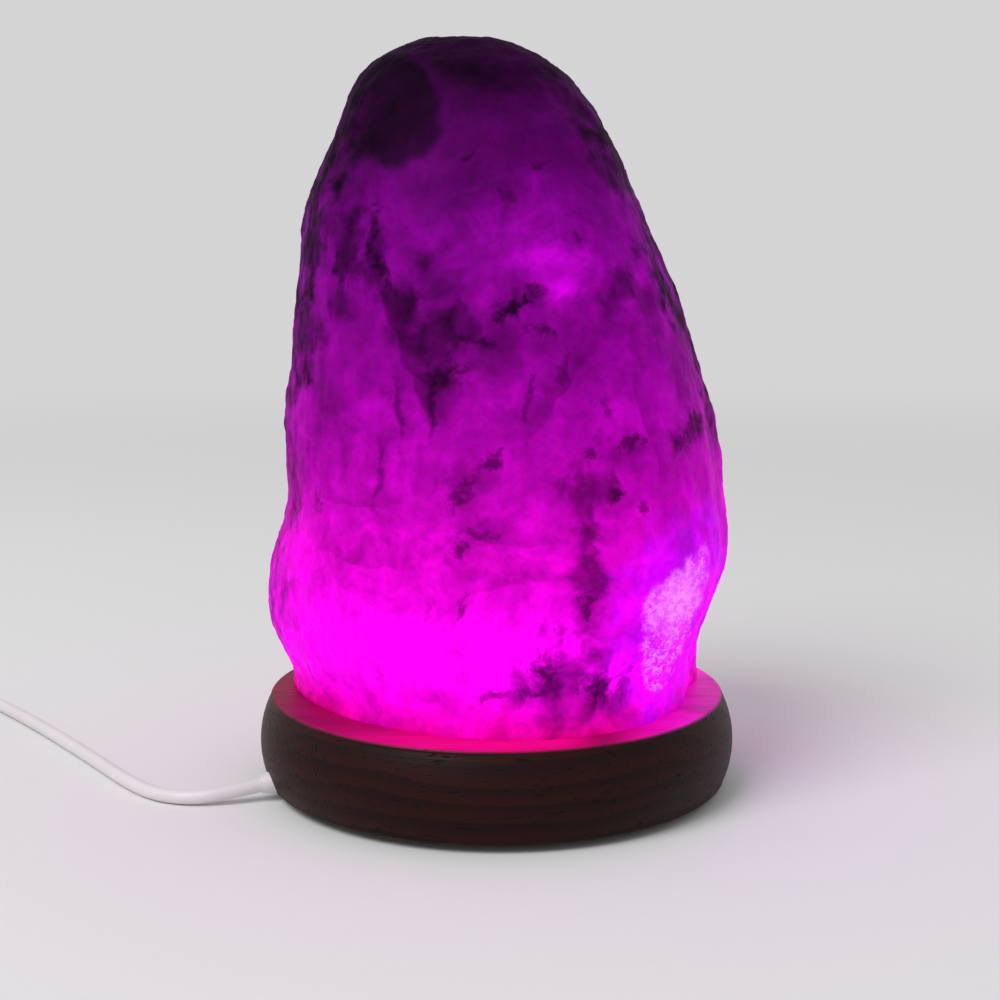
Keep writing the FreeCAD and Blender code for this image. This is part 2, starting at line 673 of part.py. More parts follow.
def led_lens():
    """A frosted cap: a skirt inside the neck, a brim on its rim and a low dome."""
    board_top = BOARD_BOTTOM + BOARD_THICKNESS
    skirt = rod(LENS_SKIRT_RADIUS, board_top, LENS_BRIM_TOP)
    brim = rod(NECK_RADIUS, NECK_TOP, LENS_BRIM_TOP)
    rise = LENS_TOP - LENS_BRIM_TOP
    dome_radius = (LENS_SKIRT_RADIUS ** 2 + rise ** 2) / (2 * rise)
    centre = V(0, 0, LENS_TOP - dome_radius)
    above = rod(NECK_RADIUS, LENS_BRIM_TOP, LENS_TOP + PAST)
    dome = Part.makeSphere(dome_radius, centre).common(above)
    hollow = rod(LENS_SKIRT_RADIUS - LENS_WALL, board_top - PAST, LENS_BRIM_TOP)
    hollow_dome = Part.makeSphere(dome_radius - LENS_WALL, centre).common(above)
    body = skirt.fuse([brim, dome]).cut(hollow).cut(hollow_dome).removeSplitter()
    save("led_lens", body)


def circuit_board():
    board_top = BOARD_BOTTOM + BOARD_THICKNESS
    board = rod(BOARD_RADIUS, BOARD_BOTTOM, board_top)
    for side in (-1, 1):
        board = board.cut(rod(BOARD_HOLE_RADIUS, BOARD_BOTTOM - PAST, board_top + PAST, lead_end(side)))
    save("led_board", board)
    half = LED_SIZE / 2
    led_top = board_top + LED_HEIGHT
    well = Part.makeCone(*LED_WELL_RADII, LED_WELL_DEPTH, V(0, 0, led_top - LED_WELL_DEPTH))
    led = block(-half, half, -half, half, board_top, led_top).cut(well)
    azimuths = [CORD_AZIMUTH + LED_AZIMUTH_STEP + 360 / LED_COUNT * i for i in range(LED_COUNT)]
    save("colour_leds", *[turned_about_z(led, azimuth, polar(LED_CIRCLE, azimuth)) for azimuth in azimuths])


def colour_chip():
    """The chip that changes the colours, on its two rows of legs."""
    length, width = CHIP_SIZE
    gap, depth = CHIP_HEIGHTS
    chip = block(-length / 2, length / 2, -width / 2, width / 2, BOARD_BOTTOM - depth, BOARD_BOTTOM - gap)
    chip = chip.makeFillet(CHIP_ROUND, edges_at(chip, BOARD_BOTTOM - depth))
    legs = []
    leg_bottom = BOARD_BOTTOM - CHIP_LEG_THICKNESS
    for side in (-1, 1):
        y0, y1 = sorted(side * reach for reach in CHIP_LEG_REACH)
        for i in range(CHIP_LEGS_PER_SIDE):
            x = (i - (CHIP_LEGS_PER_SIDE - 1) / 2) * CHIP_LEG_PITCH
            x0 = x - CHIP_LEG_WIDTH / 2
            legs.append(block(x0, x0 + CHIP_LEG_WIDTH, y0, y1, leg_bottom, BOARD_BOTTOM))
    save("colour_chip", turned_about_z(chip.fuse(legs), CORD_AZIMUTH))


def under_board(size):
    """A small block that hangs under the middle of the board."""
    length, width, height = size
    return block(-length / 2, length / 2, -width / 2, width / 2, BOARD_BOTTOM - height, BOARD_BOTTOM)


def small_parts():
    """The three resistors and the capacitor."""
    resistors = []
    for i in (-1, 0, 1):
        at = polar(RESISTOR_CIRCLE, CORD_AZIMUTH + 90 + RESISTOR_STEP * i)
        resistors.append(turned_about_z(under_board(RESISTOR_SIZE), CORD_AZIMUTH, at))
    save("resistors", *resistors)
    at = polar(CAPACITOR_CIRCLE, CORD_AZIMUTH + 180)
    save("capacitor", turned_about_z(under_board(CAPACITOR_SIZE), CORD_AZIMUTH + 90, at))


# ---- the lead inside the base ------------------------------------------------------------
def across(offset):
    """A step sideways from the line of the lead."""
    return polar(offset, CORD_AZIMUTH + 90)


def lead_end(side):
    """Where a conductor goes up through the board."""
    return polar(LEAD_BOARD_RADIUS, CORD_AZIMUTH) + across(side * LEAD_BOARD_SPREAD)


def clamp_screw_places():
    return [polar(CLAMP_RADIUS, CORD_AZIMUTH) + across(side * CLAMP_SCREW_OFFSET) for side in (-1, 1)]


def cord_clamp():
    """A block that grips the lead and is screwed up to the wood."""
    half = CLAMP_LENGTH / 2
    body = block(-half, half, -CLAMP_HALF_WIDTH, CLAMP_HALF_WIDTH, CLAMP_BOTTOM, RECESS_TOP)
    body = body.makeFillet(CLAMP_ROUND, edges_at(body, CLAMP_BOTTOM))
    bore_start = V(-half - PAST, 0, CLAMPED_Z)
    body = body.cut(Part.makeCylinder(CORD_HOLE_RADIUS, CLAMP_LENGTH + 2 * PAST, bore_start, V(1, 0, 0)))
    for side in (-1, 1):
        at = V(0, side * CLAMP_SCREW_OFFSET, 0)
        body = body.cut(rod(SMALL_SCREW_RADIUS + EASY_FIT, CLAMP_BOTTOM - PAST, RECESS_TOP + PAST, at))
    save("cord_clamp", turned_about_z(body, CORD_AZIMUTH, polar(CLAMP_RADIUS, CORD_AZIMUTH)))


def clamp_screws():
    head_z = V(0, 0, CLAMP_BOTTOM)
    shank_radius = SMALL_SCREW_RADIUS - CLOSE_FIT
    places = [at + head_z for at in clamp_screw_places()]
    save("clamp_screws", *[screw(SMALL_SCREW_HEAD, shank_radius, CLAMP_SCREW_LENGTH, at) for at in places])


def cord_grommet():
    """A rubber sleeve moulded on the lead, trapped in the groove by the flange at its inner end."""
    heading = lead_heading()
    slant = math.cos(math.radians(CORD_SLOPE))
    inner = RECESS_RADIUS - GROMMET_FLANGE - GROMMET_FLANGE_GAP
    flange_radius = SLEEVE_RADIUS + GROMMET_FLANGE_EDGE
    flange = Part.makeCylinder(flange_radius, GROMMET_FLANGE, lead_axis(inner), heading)
    sleeve_length = (SLEEVE_END_RADIUS - inner) / slant
    sleeve = Part.makeCylinder(SLEEVE_RADIUS, sleeve_length, lead_axis(inner), heading)
    tip_length = (GROMMET_TIP_RADIUS - SLEEVE_END_RADIUS) / slant
    tip = Part.makeCone(SLEEVE_RADIUS, SLEEVE_TIP_RADIUS, tip_length, lead_axis(SLEEVE_END_RADIUS), heading)
    bore_start = inner - GROMMET_BORE_START
    bore_length = (INNER_LEAD_RADIUS - bore_start) / slant
    bore = Part.makeCylinder(CORD_DIAMETER / 2, bore_length, lead_axis(bore_start), heading)
    cover = rod(RECESS_RADIUS, 0, COVER_TOP)
    body = flange.fuse([sleeve, tip]).cut([bore, cover]).removeSplitter()
    save("cord_grommet", body)


def inner_lead():
    """The jacketed lead from inside the sleeve to where its jacket is cut, past the clamp."""
    route = [lead_axis(INNER_LEAD_RADIUS), lead_axis(INNER_LEAD_TURN_RADIUS)]
    route += [polar(r, CORD_AZIMUTH, CLAMPED_Z) for r in (CLAMP_RADIUS + CLAMP_APPROACH, JACKET_END_RADIUS)]
    save("inner_lead", cord_tube("inner_lead", [tuple(p) for p in route]))


def conductor(name, side):
    """One core, from the cut jacket up into the board."""
    route = [polar(JACKET_END_RADIUS, CORD_AZIMUTH, CLAMPED_Z) + across(side * LEAD_SPREAD)]
    for radius, rise, spread in CONDUCTOR_BENDS:
        route.append(polar(radius, CORD_AZIMUTH, CLAMPED_Z + rise) + across(side * spread))
    route.append(lead_end(side) + V(0, 0, CLAMPED_Z + CONDUCTOR_RISE))
    route.append(lead_end(side) + V(0, 0, BOARD_BOTTOM))
    save(name, cord_tube(name, [tuple(p) for p in route], WIRE_DIAMETER))


# ---- the free lead -----------------------------------------------------------------------
def free_lead():
    save("cord_lamp_to_switch", cord_tube("cord_lamp_to_switch", LAMP_TO_SWITCH))
    save("cord_switch_to_coil", cord_tube("cord_switch_to_coil", SWITCH_TO_COIL))
    start = V(*SWITCH_TO_COIL[-1])
    edges, end = coil_path(start)
    path = Part.Wire(edges)
    coil = tube(path, CORD_DIAMETER, start, V(0, -1, 0))
    expected = math.pi * CORD_DIAMETER ** 2 / 4 * path.Length
    print("cord_coil", "length", round(path.Length, 1), "half turns", len(coil_half_turns()),
          "least gap", round(least_gap(edges, CORD_DIAMETER), 2),
          "volume over section x length", round(coil.Volume / expected, 4))
    save("cord_coil", coil)
    route = [(end.x, end.y + along, height) for along, height in COIL_TO_PLUG]
    save("cord_coil_to_plug", cord_tube("cord_coil_to_plug", route))
    return V(*route[-1])


# ---- the in-line switch ------------------------------------------------------------------
def on_switch(shape):
    return turned_about_z(shape, SWITCH_TURN, SWITCH_CENTRE)


def cord_way():
    """The bore along the whole switch that the lead enters at both ends."""
    start = V(-SWITCH_LENGTH / 2 - PAST, 0, SWITCH_SPLIT)
    return Part.makeCylinder(CORD_HOLE_RADIUS, SWITCH_LENGTH + 2 * PAST, start, V(1, 0, 0))


def switch_screw_places():
    return [V(SHELL_SCREW_OFFSET, SHELL_SCREW_SIDE, 0), V(-SHELL_SCREW_OFFSET, -SHELL_SCREW_SIDE, 0)]


def switch_room(z0, z1):
    """The space inside the two shells."""
    length = SWITCH_LENGTH - 2 * SWITCH_WALL
    width = SWITCH_WIDTH - 2 * SWITCH_WALL
    return rounded_block(length, width, z0, z1, SWITCH_CORNER - SWITCH_WALL)


def switch_lower_shell():
    body = rounded_block(SWITCH_LENGTH, SWITCH_WIDTH, 0, SWITCH_SPLIT, SWITCH_CORNER)
    body = body.makeFillet(SWITCH_EDGE, edges_at(body, 0))
    body = body.cut(switch_room(SWITCH_WALL, SWITCH_SPLIT + PAST))
    posts = [rod(POST_RADIUS, SWITCH_WALL, SWITCH_SPLIT, at) for at in switch_screw_places()]
    body = body.fuse(posts).cut(cord_way())
    for at in switch_screw_places():
        body = body.cut(rod(SHELL_SCREW_HOLE_RADIUS, -PAST, SWITCH_SPLIT + PAST, at))
        body = body.cut(rod(SHELL_SCREW_SEAT_RADIUS, -PAST, SHELL_SCREW_SEAT_DEPTH, at))
    save("switch_lower_shell", on_switch(body.removeSplitter()))


def rocker_lugs():
    """The two ears inside the window that carry the rocker's pins."""
    lugs = []
    window_side = ROCKER_WINDOW[1] / 2
    for side in (-1, 1):
        y0, y1 = sorted((side * window_side, side * (window_side + LUG_THICKNESS)))
        bottom = ROCKER_PIVOT_Z - LUG_BELOW_PIVOT
        lugs.append(block(-LUG_HALF_LENGTH, LUG_HALF_LENGTH, y0, y1, bottom, SWITCH_HEIGHT - SWITCH_WALL))
    return lugs


def switch_upper_shell():
    roof = SWITCH_HEIGHT - SWITCH_WALL
    body = rounded_block(SWITCH_LENGTH, SWITCH_WIDTH, SWITCH_SPLIT, SWITCH_HEIGHT, SWITCH_CORNER)
    body = body.makeFillet(SWITCH_EDGE, edges_at(body, SWITCH_HEIGHT))
    body = body.cut(switch_room(SWITCH_SPLIT - PAST, roof))
    half_x = ROCKER_WINDOW[0] / 2
    half_y = ROCKER_WINDOW[1] / 2
    body = body.cut(block(-half_x, half_x, -half_y, half_y, SWITCH_SPLIT, SWITCH_HEIGHT + PAST))
    posts = [rod(POST_RADIUS, SWITCH_SPLIT, roof, at) for at in switch_screw_places()]
    body = body.fuse(rocker_lugs() + posts).cut(cord_way())
    pin_reach = half_y + LUG_THICKNESS + PAST
    pin_start = V(0, -pin_reach, ROCKER_PIVOT_Z)
    pin_hole_radius = ROCKER_PIN_RADIUS + ROCKER_PIN_FIT
    body = body.cut(Part.makeCylinder(pin_hole_radius, 2 * pin_reach, pin_start, V(0, 1, 0)))
    for at in switch_screw_places():
        body = body.cut(rod(SHELL_PILOT_RADIUS, SWITCH_SPLIT - PAST, roof - SHELL_PILOT_ROOF, at))
    save("switch_upper_shell", on_switch(body.removeSplitter()))


def switch_rocker():
    """The ON end is down at rest. Two short pins carry it."""
    half = ROCKER_WIDTH / 2
    corners = [V(x, -half, z) for x, z in ROCKER_OUTLINE]
    body = Part.Face(Part.makePolygon(corners + corners[:1])).extrude(V(0, ROCKER_WIDTH, 0))
    tip_z = ROCKER_OUTLINE[0][1]
    tips = [e for e in edges_at(body, tip_z) if e.BoundBox.YLength > half]
    body = body.makeFillet(ROCKER_TIP_ROUND, tips)
    pin_reach = ROCKER_WINDOW[1] / 2 + ROCKER_PIN_PAST_WINDOW
    pin = Part.makeCylinder(ROCKER_PIN_RADIUS, 2 * pin_reach, V(0, -pin_reach, 0), V(0, 1, 0))
    body = body.fuse(pin)
    body.rotate(ORIGIN, V(0, 1, 0), ROCKER_TILT)
    body.translate(V(0, 0, ROCKER_PIVOT_Z))
    save("switch_rocker", on_switch(body.removeSplitter()))


def switch_terminals():
    """Two fixed terminals, one facing each end, side by side on the floor of the shell."""
    x0, x1 = TERMINAL_X
    y0, y1 = TERMINAL_Y
    post_sheet, post_height = TERMINAL_POST
    foot = block(x0, x1, y0, y1, SWITCH_WALL, SWITCH_WALL + TERMINAL_SHEET)
    post = block(x0, x0 + post_sheet, y0, y1, SWITCH_WALL, SWITCH_WALL + post_height)
    right = foot.fuse(post).removeSplitter()
    left = turned_about_z(right, 180, V(0, y0 + y1, 0))
    save("switch_terminals", on_switch(right), on_switch(left))


def switch_contact_leaf():
    """The leaf over both terminals, with an arm under the rocker's keel."""
    z0, z1 = [SWITCH_WALL + height for height in LEAF_HEIGHTS]
    leaf = block(-LEAF_X, LEAF_X, *LEAF_Y, z0, z1)
    arm = block(-LEAF_ARM_HALF_WIDTH, LEAF_ARM_HALF_WIDTH, LEAF_ARM_END, LEAF_Y[0], z0, z1)
    save("switch_contact_leaf", on_switch(leaf.fuse(arm).removeSplitter()))


def switch_screws():
    seat = V(0, 0, SHELL_SCREW_SEAT_DEPTH)
    places = [at + seat for at in switch_screw_places()]
    screws = [screw(SHELL_SCREW_HEAD, SHELL_SCREW_RADIUS, SHELL_SCREW_LENGTH, at) for at in places]
    save("switch_screws", *[on_switch(one) for one in screws])


def switch_conductors():
    """The black core runs straight through, and the red one is cut at the terminals."""
    end_x = SWITCH_LENGTH / 2 - SWITCH_WALL
    black = [(along - end_x, across_it, SWITCH_WALL + height) for along, across_it, height in BLACK_BENDS]
    black += [(-x, y, z) for x, y, z in reversed(black)]
    save("switch_black_conductor", on_switch(cord_tube("switch_black", black, WIRE_DIAMETER)))
    reds = []
    for side in (-1, 1):
        red = [(side * (end_x - along), y, SWITCH_WALL + height) for along, y, height in RED_BENDS]
        reds.append(on_switch(cord_tube("switch_red", red, WIRE_DIAMETER)))
    save("switch_red_conductors", *reds)


# ---- the plug ----------------------------------------------------------------------------
def plug_taper():
    """The bend relief behind the grip, ribbed by three grooves."""
    taper = Part.makeCone(*PLUG_TAPER_RADII, PLUG_TAPER_LENGTH, ORIGIN, V(1, 0, 0))
    core_start, core_growth = PLUG_RIB_CORE
    for x in PLUG_RIB_GROOVES:
        at = V(x, 0, 0)
        groove = Part.makeCylinder(PLUG_TAPER_RADII[1] + PAST, PLUG_RIB_WIDTH, at, V(1, 0, 0))
        core = Part.makeCylinder(core_start + core_growth * x, PLUG_RIB_WIDTH, at, V(1, 0, 0))
        taper = taper.cut(groove.cut(core))
    return taper


def plug_grip():
    """The moulded block, with three finger grooves above and below."""
    half_width = PLUG_GRIP_WIDTH / 2
    half_height = PLUG_GRIP_HEIGHT / 2
    grip = block(PLUG_TAPER_LENGTH, GRIP_END, -half_width, half_width, -half_height, half_height)
    grip = grip.makeFillet(PLUG_GRIP_ROUND, grip.Edges)
    half_groove = GRIP_GROOVE_HALF_LENGTH
    for side in (-1, 1):
        z0, z1 = sorted((side * (half_height - GRIP_GROOVE_DEPTH), side * (half_height + PAST)))
        for x in GRIP_GROOVES:
            grip = grip.cut(block(x, x + GRIP_GROOVE_WIDTH, -half_groove, half_groove, z0, z1))
    return plug_taper().fuse(grip).cut(plug_shell_block())


def plug_shell_block():
    """The outside of the metal shell, without its hollow."""
    half_width = PLUG_SHELL_WIDTH / 2
    half_height = PLUG_SHELL_HEIGHT / 2
    return block(SHELL_START, SHELL_END, -half_width, half_width, -half_height, half_height)


def plug_shell():
    """Bent sheet, open at both ends, with two latch windows right through."""
    inner_width = PLUG_SHELL_WIDTH / 2 - PLUG_SHELL_SHEET
    inner_height = PLUG_SHELL_HEIGHT / 2 - PLUG_SHELL_SHEET
    shell = plug_shell_block()
    shell = shell.cut(block(SHELL_START - PAST, SHELL_END + PAST, -inner_width, inner_width,
                            -inner_height, inner_height))
    x0 = GRIP_END + SHELL_WINDOW_START
    x1 = x0 + SHELL_WINDOW_LENGTH
    for y in (-SHELL_WINDOW_SIDE, SHELL_WINDOW_SIDE):
        window_y = (y - SHELL_WINDOW_HALF_WIDTH, y + SHELL_WINDOW_HALF_WIDTH)
        shell = shell.cut(block(x0, x1, *window_y, -PLUG_SHELL_HEIGHT, PLUG_SHELL_HEIGHT))
    return shell


def plug_tongue():
    """The plastic tongue that fills the lower half of the shell."""
    inner_width = PLUG_SHELL_WIDTH / 2 - PLUG_SHELL_SHEET
    return block(SHELL_START, SHELL_END - PLUG_TONGUE_BEHIND_TIP, -inner_width, inner_width,
                 TONGUE_BOTTOM, TONGUE_TOP)


def plug_contacts():
    """Two long contacts outside and two short ones inside, on top of the tongue."""
    contacts = []
    for y in CONTACT_PITCHES:
        outer = abs(y) == max(CONTACT_PITCHES)
        behind_tip = OUTER_CONTACT_BEHIND_TIP if outer else INNER_CONTACT_BEHIND_TIP
        contacts.append(block(GRIP_END + CONTACT_START, SHELL_END - behind_tip,
                              y - CONTACT_HALF_WIDTH, y + CONTACT_HALF_WIDTH,
                              TONGUE_TOP, TONGUE_TOP + CONTACT_THICKNESS))
    return contacts


def plug(entry):
    """Built pointing along +X with the lead entering at the origin, then laid at its place."""
    pieces = {
        "plug_grip": [plug_grip()],
        "plug_shell": [plug_shell()],
        "plug_tongue": [plug_tongue()],
        "plug_contacts": plug_contacts(),
    }
    for name, solids in pieces.items():
        save(name, *[turned_about_z(solid.removeSplitter(), 90, entry) for solid in solids])


def main():
    os.makedirs("parts", exist_ok=True)
    salt_crystal()
    wood_base()
    crystal_fixings()
    base_cover()
    cover_screws()
    rubber_feet()
    led_housing()
    housing_screws()
    led_lens()
    circuit_board()
    colour_chip()
    small_parts()
    cord_clamp()
    clamp_screws()
    cord_grommet()
    inner_lead()
    conductor("red_conductor", 1)
    conductor("black_conductor", -1)
    plug_entry = free_lead()
    switch_lower_shell()
    switch_upper_shell()
    switch_rocker()
    switch_terminals()
    switch_contact_leaf()
    switch_screws()
    switch_conductors()
    plug(plug_entry)


main()
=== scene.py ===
# %% [markdown]
# # A salt crystal night light
# A lump of rock salt, hewn and bored from below, stands on a round base of dark turned wood. Six
# colour lights in the base shine up into the bore, so the salt glows from inside: magenta low
# down, deep purple at the top. A thin pale lead leaves the base at the left.
# The CAD model gives every piece its place and size. This lesson gives each piece its looks.

# %% Load the CAD model
import math

import bmesh
import bpy
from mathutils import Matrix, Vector, noise


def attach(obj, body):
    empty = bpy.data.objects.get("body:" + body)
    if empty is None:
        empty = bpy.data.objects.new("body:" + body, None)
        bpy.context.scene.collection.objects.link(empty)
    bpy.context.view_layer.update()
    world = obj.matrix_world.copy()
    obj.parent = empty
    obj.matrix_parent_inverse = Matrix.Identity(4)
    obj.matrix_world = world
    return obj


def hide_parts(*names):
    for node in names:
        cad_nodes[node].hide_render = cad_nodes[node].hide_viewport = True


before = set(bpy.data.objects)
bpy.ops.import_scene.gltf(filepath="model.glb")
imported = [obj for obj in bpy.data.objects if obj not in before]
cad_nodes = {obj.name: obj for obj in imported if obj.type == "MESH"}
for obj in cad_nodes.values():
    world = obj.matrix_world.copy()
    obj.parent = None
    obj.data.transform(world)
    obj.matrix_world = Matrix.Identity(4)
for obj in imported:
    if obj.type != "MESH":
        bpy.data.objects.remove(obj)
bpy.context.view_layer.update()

print("pieces from the CAD model:", len(cad_nodes))


# %% [markdown]
# ## The camera
# The picture was taken from a little above the lamp, about a forearm away, with a lens that is a
# bit longer than normal. Distance, height and lens were worked out from the ellipse of the
# wooden rim, the curve of the foot and the outline of the salt.

# %% Place the camera
CAMERA_PLACE = (0.0, -0.3174, 0.1013)
LOOKING_DOWN = math.radians(8.48)
LOOKING_RIGHT = 0.002
LENS = 61.2
SENSOR_WIDTH = 36.0

camera = bpy.data.objects.new("camera", bpy.data.cameras.new("camera"))
camera.data.lens = LENS
camera.data.sensor_width = SENSOR_WIDTH
camera.location = CAMERA_PLACE
camera.rotation_euler = (math.pi / 2 - LOOKING_DOWN, 0.0, -LOOKING_RIGHT)
bpy.context.scene.collection.objects.link(camera)
bpy.context.scene.camera = camera
bpy.context.scene.view_settings.view_transform = "Standard"
print("camera at", CAMERA_PLACE, "with a lens of", LENS, "mm")


# %% [markdown]
# ## Writing shader maths as sums
# A shader is a net of nodes, and a long formula is hard to read as a list of links. So one small
# class holds an output socket and answers to + - * / and **. Numbers go through Math nodes,
# vectors through Vector Math nodes and colours through Mix nodes, because a Math node would turn a
# colour grey. Every other node comes from the one method `node`, which sets the node's settings
# before its inputs, since settings such as the data type decide which inputs there are.

# %% Sockets with sums
class Flow:
    """What comes out of one socket of a shader node, and the net that the node is in."""

    def __init__(self, net, socket):
        self.net = net
        self.socket = socket

    def __add__(self, other):
        return self.net.work("ADD", self, other)

    def __radd__(self, other):
        return self.net.work("ADD", other, self)

    def __sub__(self, other):
        return self.net.work("SUBTRACT", self, other)

    def __rsub__(self, other):
        return self.net.work("SUBTRACT", other, self)

    def __mul__(self, other):
        return self.net.work("MULTIPLY", self, other)

    def __rmul__(self, other):
        return self.net.work("MULTIPLY", other, self)

    def __truediv__(self, other):
        return self.net.work("DIVIDE", self, other)

    def __pow__(self, other):
        return self.net.work("POWER", self, other)


# %% A net of nodes, and a finish
def in_use(sockets, key):
    """The socket with that name or number, among those that the node's settings leave in use."""
    shown = [socket for socket in sockets if socket.enabled]
    return shown[key] if isinstance(key, int) else next(s for s in shown if s.name == key)


def filled(socket, value):
    """A plain number written as the vector or colour that the socket takes."""
    if isinstance(value, (int, float)) and socket.type == "VECTOR":
        return (value, value, value)
    if isinstance(value, (int, float)) and socket.type == "RGBA":
        return (value, value, value, 1.0)
    if socket.type == "RGBA" and len(value) == 3:
        return (*value, 1.0)
    return value


class Net:
    """A tree of shader nodes, built by calls and sums."""

    def __init__(self, tree):
        self.tree = tree

    def connect(self, socket, value):
        """Links a flow to a socket, or writes a number, vector or colour into it."""
        if isinstance(value, Flow):
            self.tree.links.new(value.socket, socket)
        else:
            socket.default_value = filled(socket, value)

    def node(self, kind, settings=None, inputs=None, output=0):
        """Any node: its settings first, then what goes into it. Returns one of its outputs."""
        made = self.tree.nodes.new(kind)
        for name, value in (settings or {}).items():
            if name == "stops":
                self.set_stops(made.color_ramp.elements, value)
            else:
                setattr(made, name, value)
        for key, value in (inputs or {}).items():
            self.connect(in_use(made.inputs, key), value)
        return Flow(self, in_use(made.outputs, output))

    def set_stops(self, elements, stops):
        while len(elements) < len(stops):
            elements.new(1.0)
        for element, (place, colour) in zip(elements, stops):
            element.position = place
            element.color = (*colour, 1.0)

    def work(self, operation, first, second):
        """A sum or product of two flows, or of a flow and a number, vector or colour."""
        kinds = [part.socket.type for part in (first, second) if isinstance(part, Flow)]
        if "RGBA" in kinds:
            mixing = {"data_type": "RGBA", "blend_type": operation}
            return self.node("ShaderNodeMix", mixing, {"Factor": 1.0, "A": first, "B": second})
        kind = "ShaderNodeVectorMath" if "VECTOR" in kinds else "ShaderNodeMath"
        return self.node(kind, {"operation": operation}, {0: first, 1: second})


class Finish(Net):
    """A material with one Principled surface, and the nodes that feed it."""

    def __init__(self, name, even=None):
        self.material = bpy.data.materials.new(name)
        self.material.use_nodes = True
        super().__init__(self.material.node_tree)
        self.surface = self.tree.nodes["Principled BSDF"]
        self.feed(even or {})

    def feed(self, inputs):
        """Gives the surface its colours and numbers."""
        for name, value in inputs.items():
            self.connect(self.surface.inputs[name], value)


# %% [markdown]
# A few things are wanted by nearly every finish: where on the object a point is, in millimetres,
# cloudy noise with lumps of a known size, a soft step between two values, and a blend. Places come
# from the object's own coordinates, so a pattern stays on its piece when the piece moves. Noise is
# drawn out along an axis when multiplying the place by three numbers makes that axis shorter.

# %% Places, clouds, steps and blends
MM_PER_METRE = 1000.0
NOISE_MIDDLE = 0.5
LEVEL = (1.0, 1.0, 0.0)


def place_on(finish):
    """The point on the object, in millimetres."""
    return finish.node("ShaderNodeTexCoord", output="Object") * MM_PER_METRE


def split(vector):
    """The x, y and z of a vector."""
    first = vector.net.node("ShaderNodeSeparateXYZ", None, {"Vector": vector})
    return [Flow(vector.net, socket) for socket in first.socket.node.outputs]


def joined(x, y=0.0, z=0.0):
    """A vector made of its parts."""
    return x.net.node("ShaderNodeCombineXYZ", None, {"X": x, "Y": y, "Z": z})


def length_of(vector):
    return vector.net.node("ShaderNodeVectorMath", {"operation": "LENGTH"}, {0: vector}, "Value")


def from_axis(place):
    """How far a place is from the upright axis."""
    return length_of(place * LEVEL)


def maths(operation, first, *others):
    """A Math node for what has no sign of its own, such as MAXIMUM or FRACT."""
    return first.net.node("ShaderNodeMath", {"operation": operation}, dict(enumerate((first, *others))))


def cloud(place, lump, detail=3.0, rough=0.5):
    """Noise from 0 to 1, lying mostly between 0.3 and 0.7, whose lumps are that many millimetres."""
    return place.net.node("ShaderNodeTexNoise", None,
                          {"Vector": place, "Scale": 1.0 / lump, "Detail": detail, "Roughness": rough})


def drift(place, lump, reach, detail=2.0):
    """The place moved by up to about half of reach, so that what is drawn there gets a ragged edge."""
    colour = place.net.node("ShaderNodeTexNoise", None,
                            {"Vector": place, "Scale": 1.0 / lump, "Detail": detail}, "Color")
    centred = place.net.node("ShaderNodeVectorMath", {"operation": "SUBTRACT"},
                             {0: colour, 1: (NOISE_MIDDLE,) * 3})
    return place + centred * reach


def swung(cloudy, swing):
    """A brightness about 1, which the noise swings up and down."""
    return cloudy * swing + (1.0 - swing / 2)


def step(value, low, high, at_low=0.0):
    """at_low where the value is below low, 1 above high, smooth between. Low may be the greater."""
    return value.net.node("ShaderNodeMapRange", {"interpolation_type": "SMOOTHSTEP"},
                          {"Value": value, "From Min": low, "From Max": high, "To Min": at_low})


def blend(share, first, second):
    """first where share is 0, second where it is 1. Colours are written as three numbers."""
    kinds = [part.socket.type for part in (first, second) if isinstance(part, Flow)]
    coloured = "RGBA" in kinds or isinstance(first, tuple) or isinstance(second, tuple)
    return share.net.node("ShaderNodeMix", {"data_type": "RGBA" if coloured else "FLOAT"},
                          {"Factor": share, "A": first, "B": second})


def relief(finish, height, depth):
    """A Bump node: height runs from 0 to 1, and depth is what 1 stands for, in millimetres."""
    bump = finish.node("ShaderNodeBump", None,
                       {"Strength": 1.0, "Distance": depth / MM_PER_METRE, "Height": height})
    finish.feed({"Normal": bump})


# %% [markdown]
# ## The stage
# The lamp is shown on a plain pale floor in soft studio light. A big lamp overhead to the left and
# an even sky together bring a surface to about the colour that is written in its material. The
# floor fades into the same pale tone far away, so that no horizon shows behind the crystal.

# %% The floor, the sky and one soft lamp
PALE = 0.80
PALE_VARIES = 0.01
FLOOR_GRAIN = 2.5
FLOOR_RADIUS = 4.0
FLOOR_CORNERS = 96
FAR_TONE = 0.66
FADES_FROM, FADES_TO = 250.0, 1000.0
SKY_LIGHT = 0.55
RAYS_THAT_SEE = ("Is Camera Ray", "Is Transmission Ray", "Is Glossy Ray")
LAMP_PLACE = (-0.7, -0.8, 1.2)
LAMP_AIMS_AT = (0.0, 0.0, 0.05)
LAMP_WIDTH = 0.9
LAMP_WATTS = 13.0


def floor_finish():
    finish = Finish("floor", {"Roughness": 0.9, "Specular IOR Level": 0.0})
    place = place_on(finish)
    tones = [(PALE - PALE_VARIES,) * 3, (PALE + PALE_VARIES,) * 3]
    finish.feed({"Base Color": blend(cloud(place, FLOOR_GRAIN), *tones)})
    fade = step(length_of(place), FADES_FROM, FADES_TO)
    glow = finish.node("ShaderNodeEmission", None, {"Color": FAR_TONE, "Strength": 1.0})
    shaded = Flow(finish, finish.surface.outputs[0])
    both = finish.node("ShaderNodeMixShader", None, {0: fade, 1: shaded, 2: glow})
    finish.connect(finish.tree.nodes["Material Output"].inputs["Surface"], both)
    return finish.material


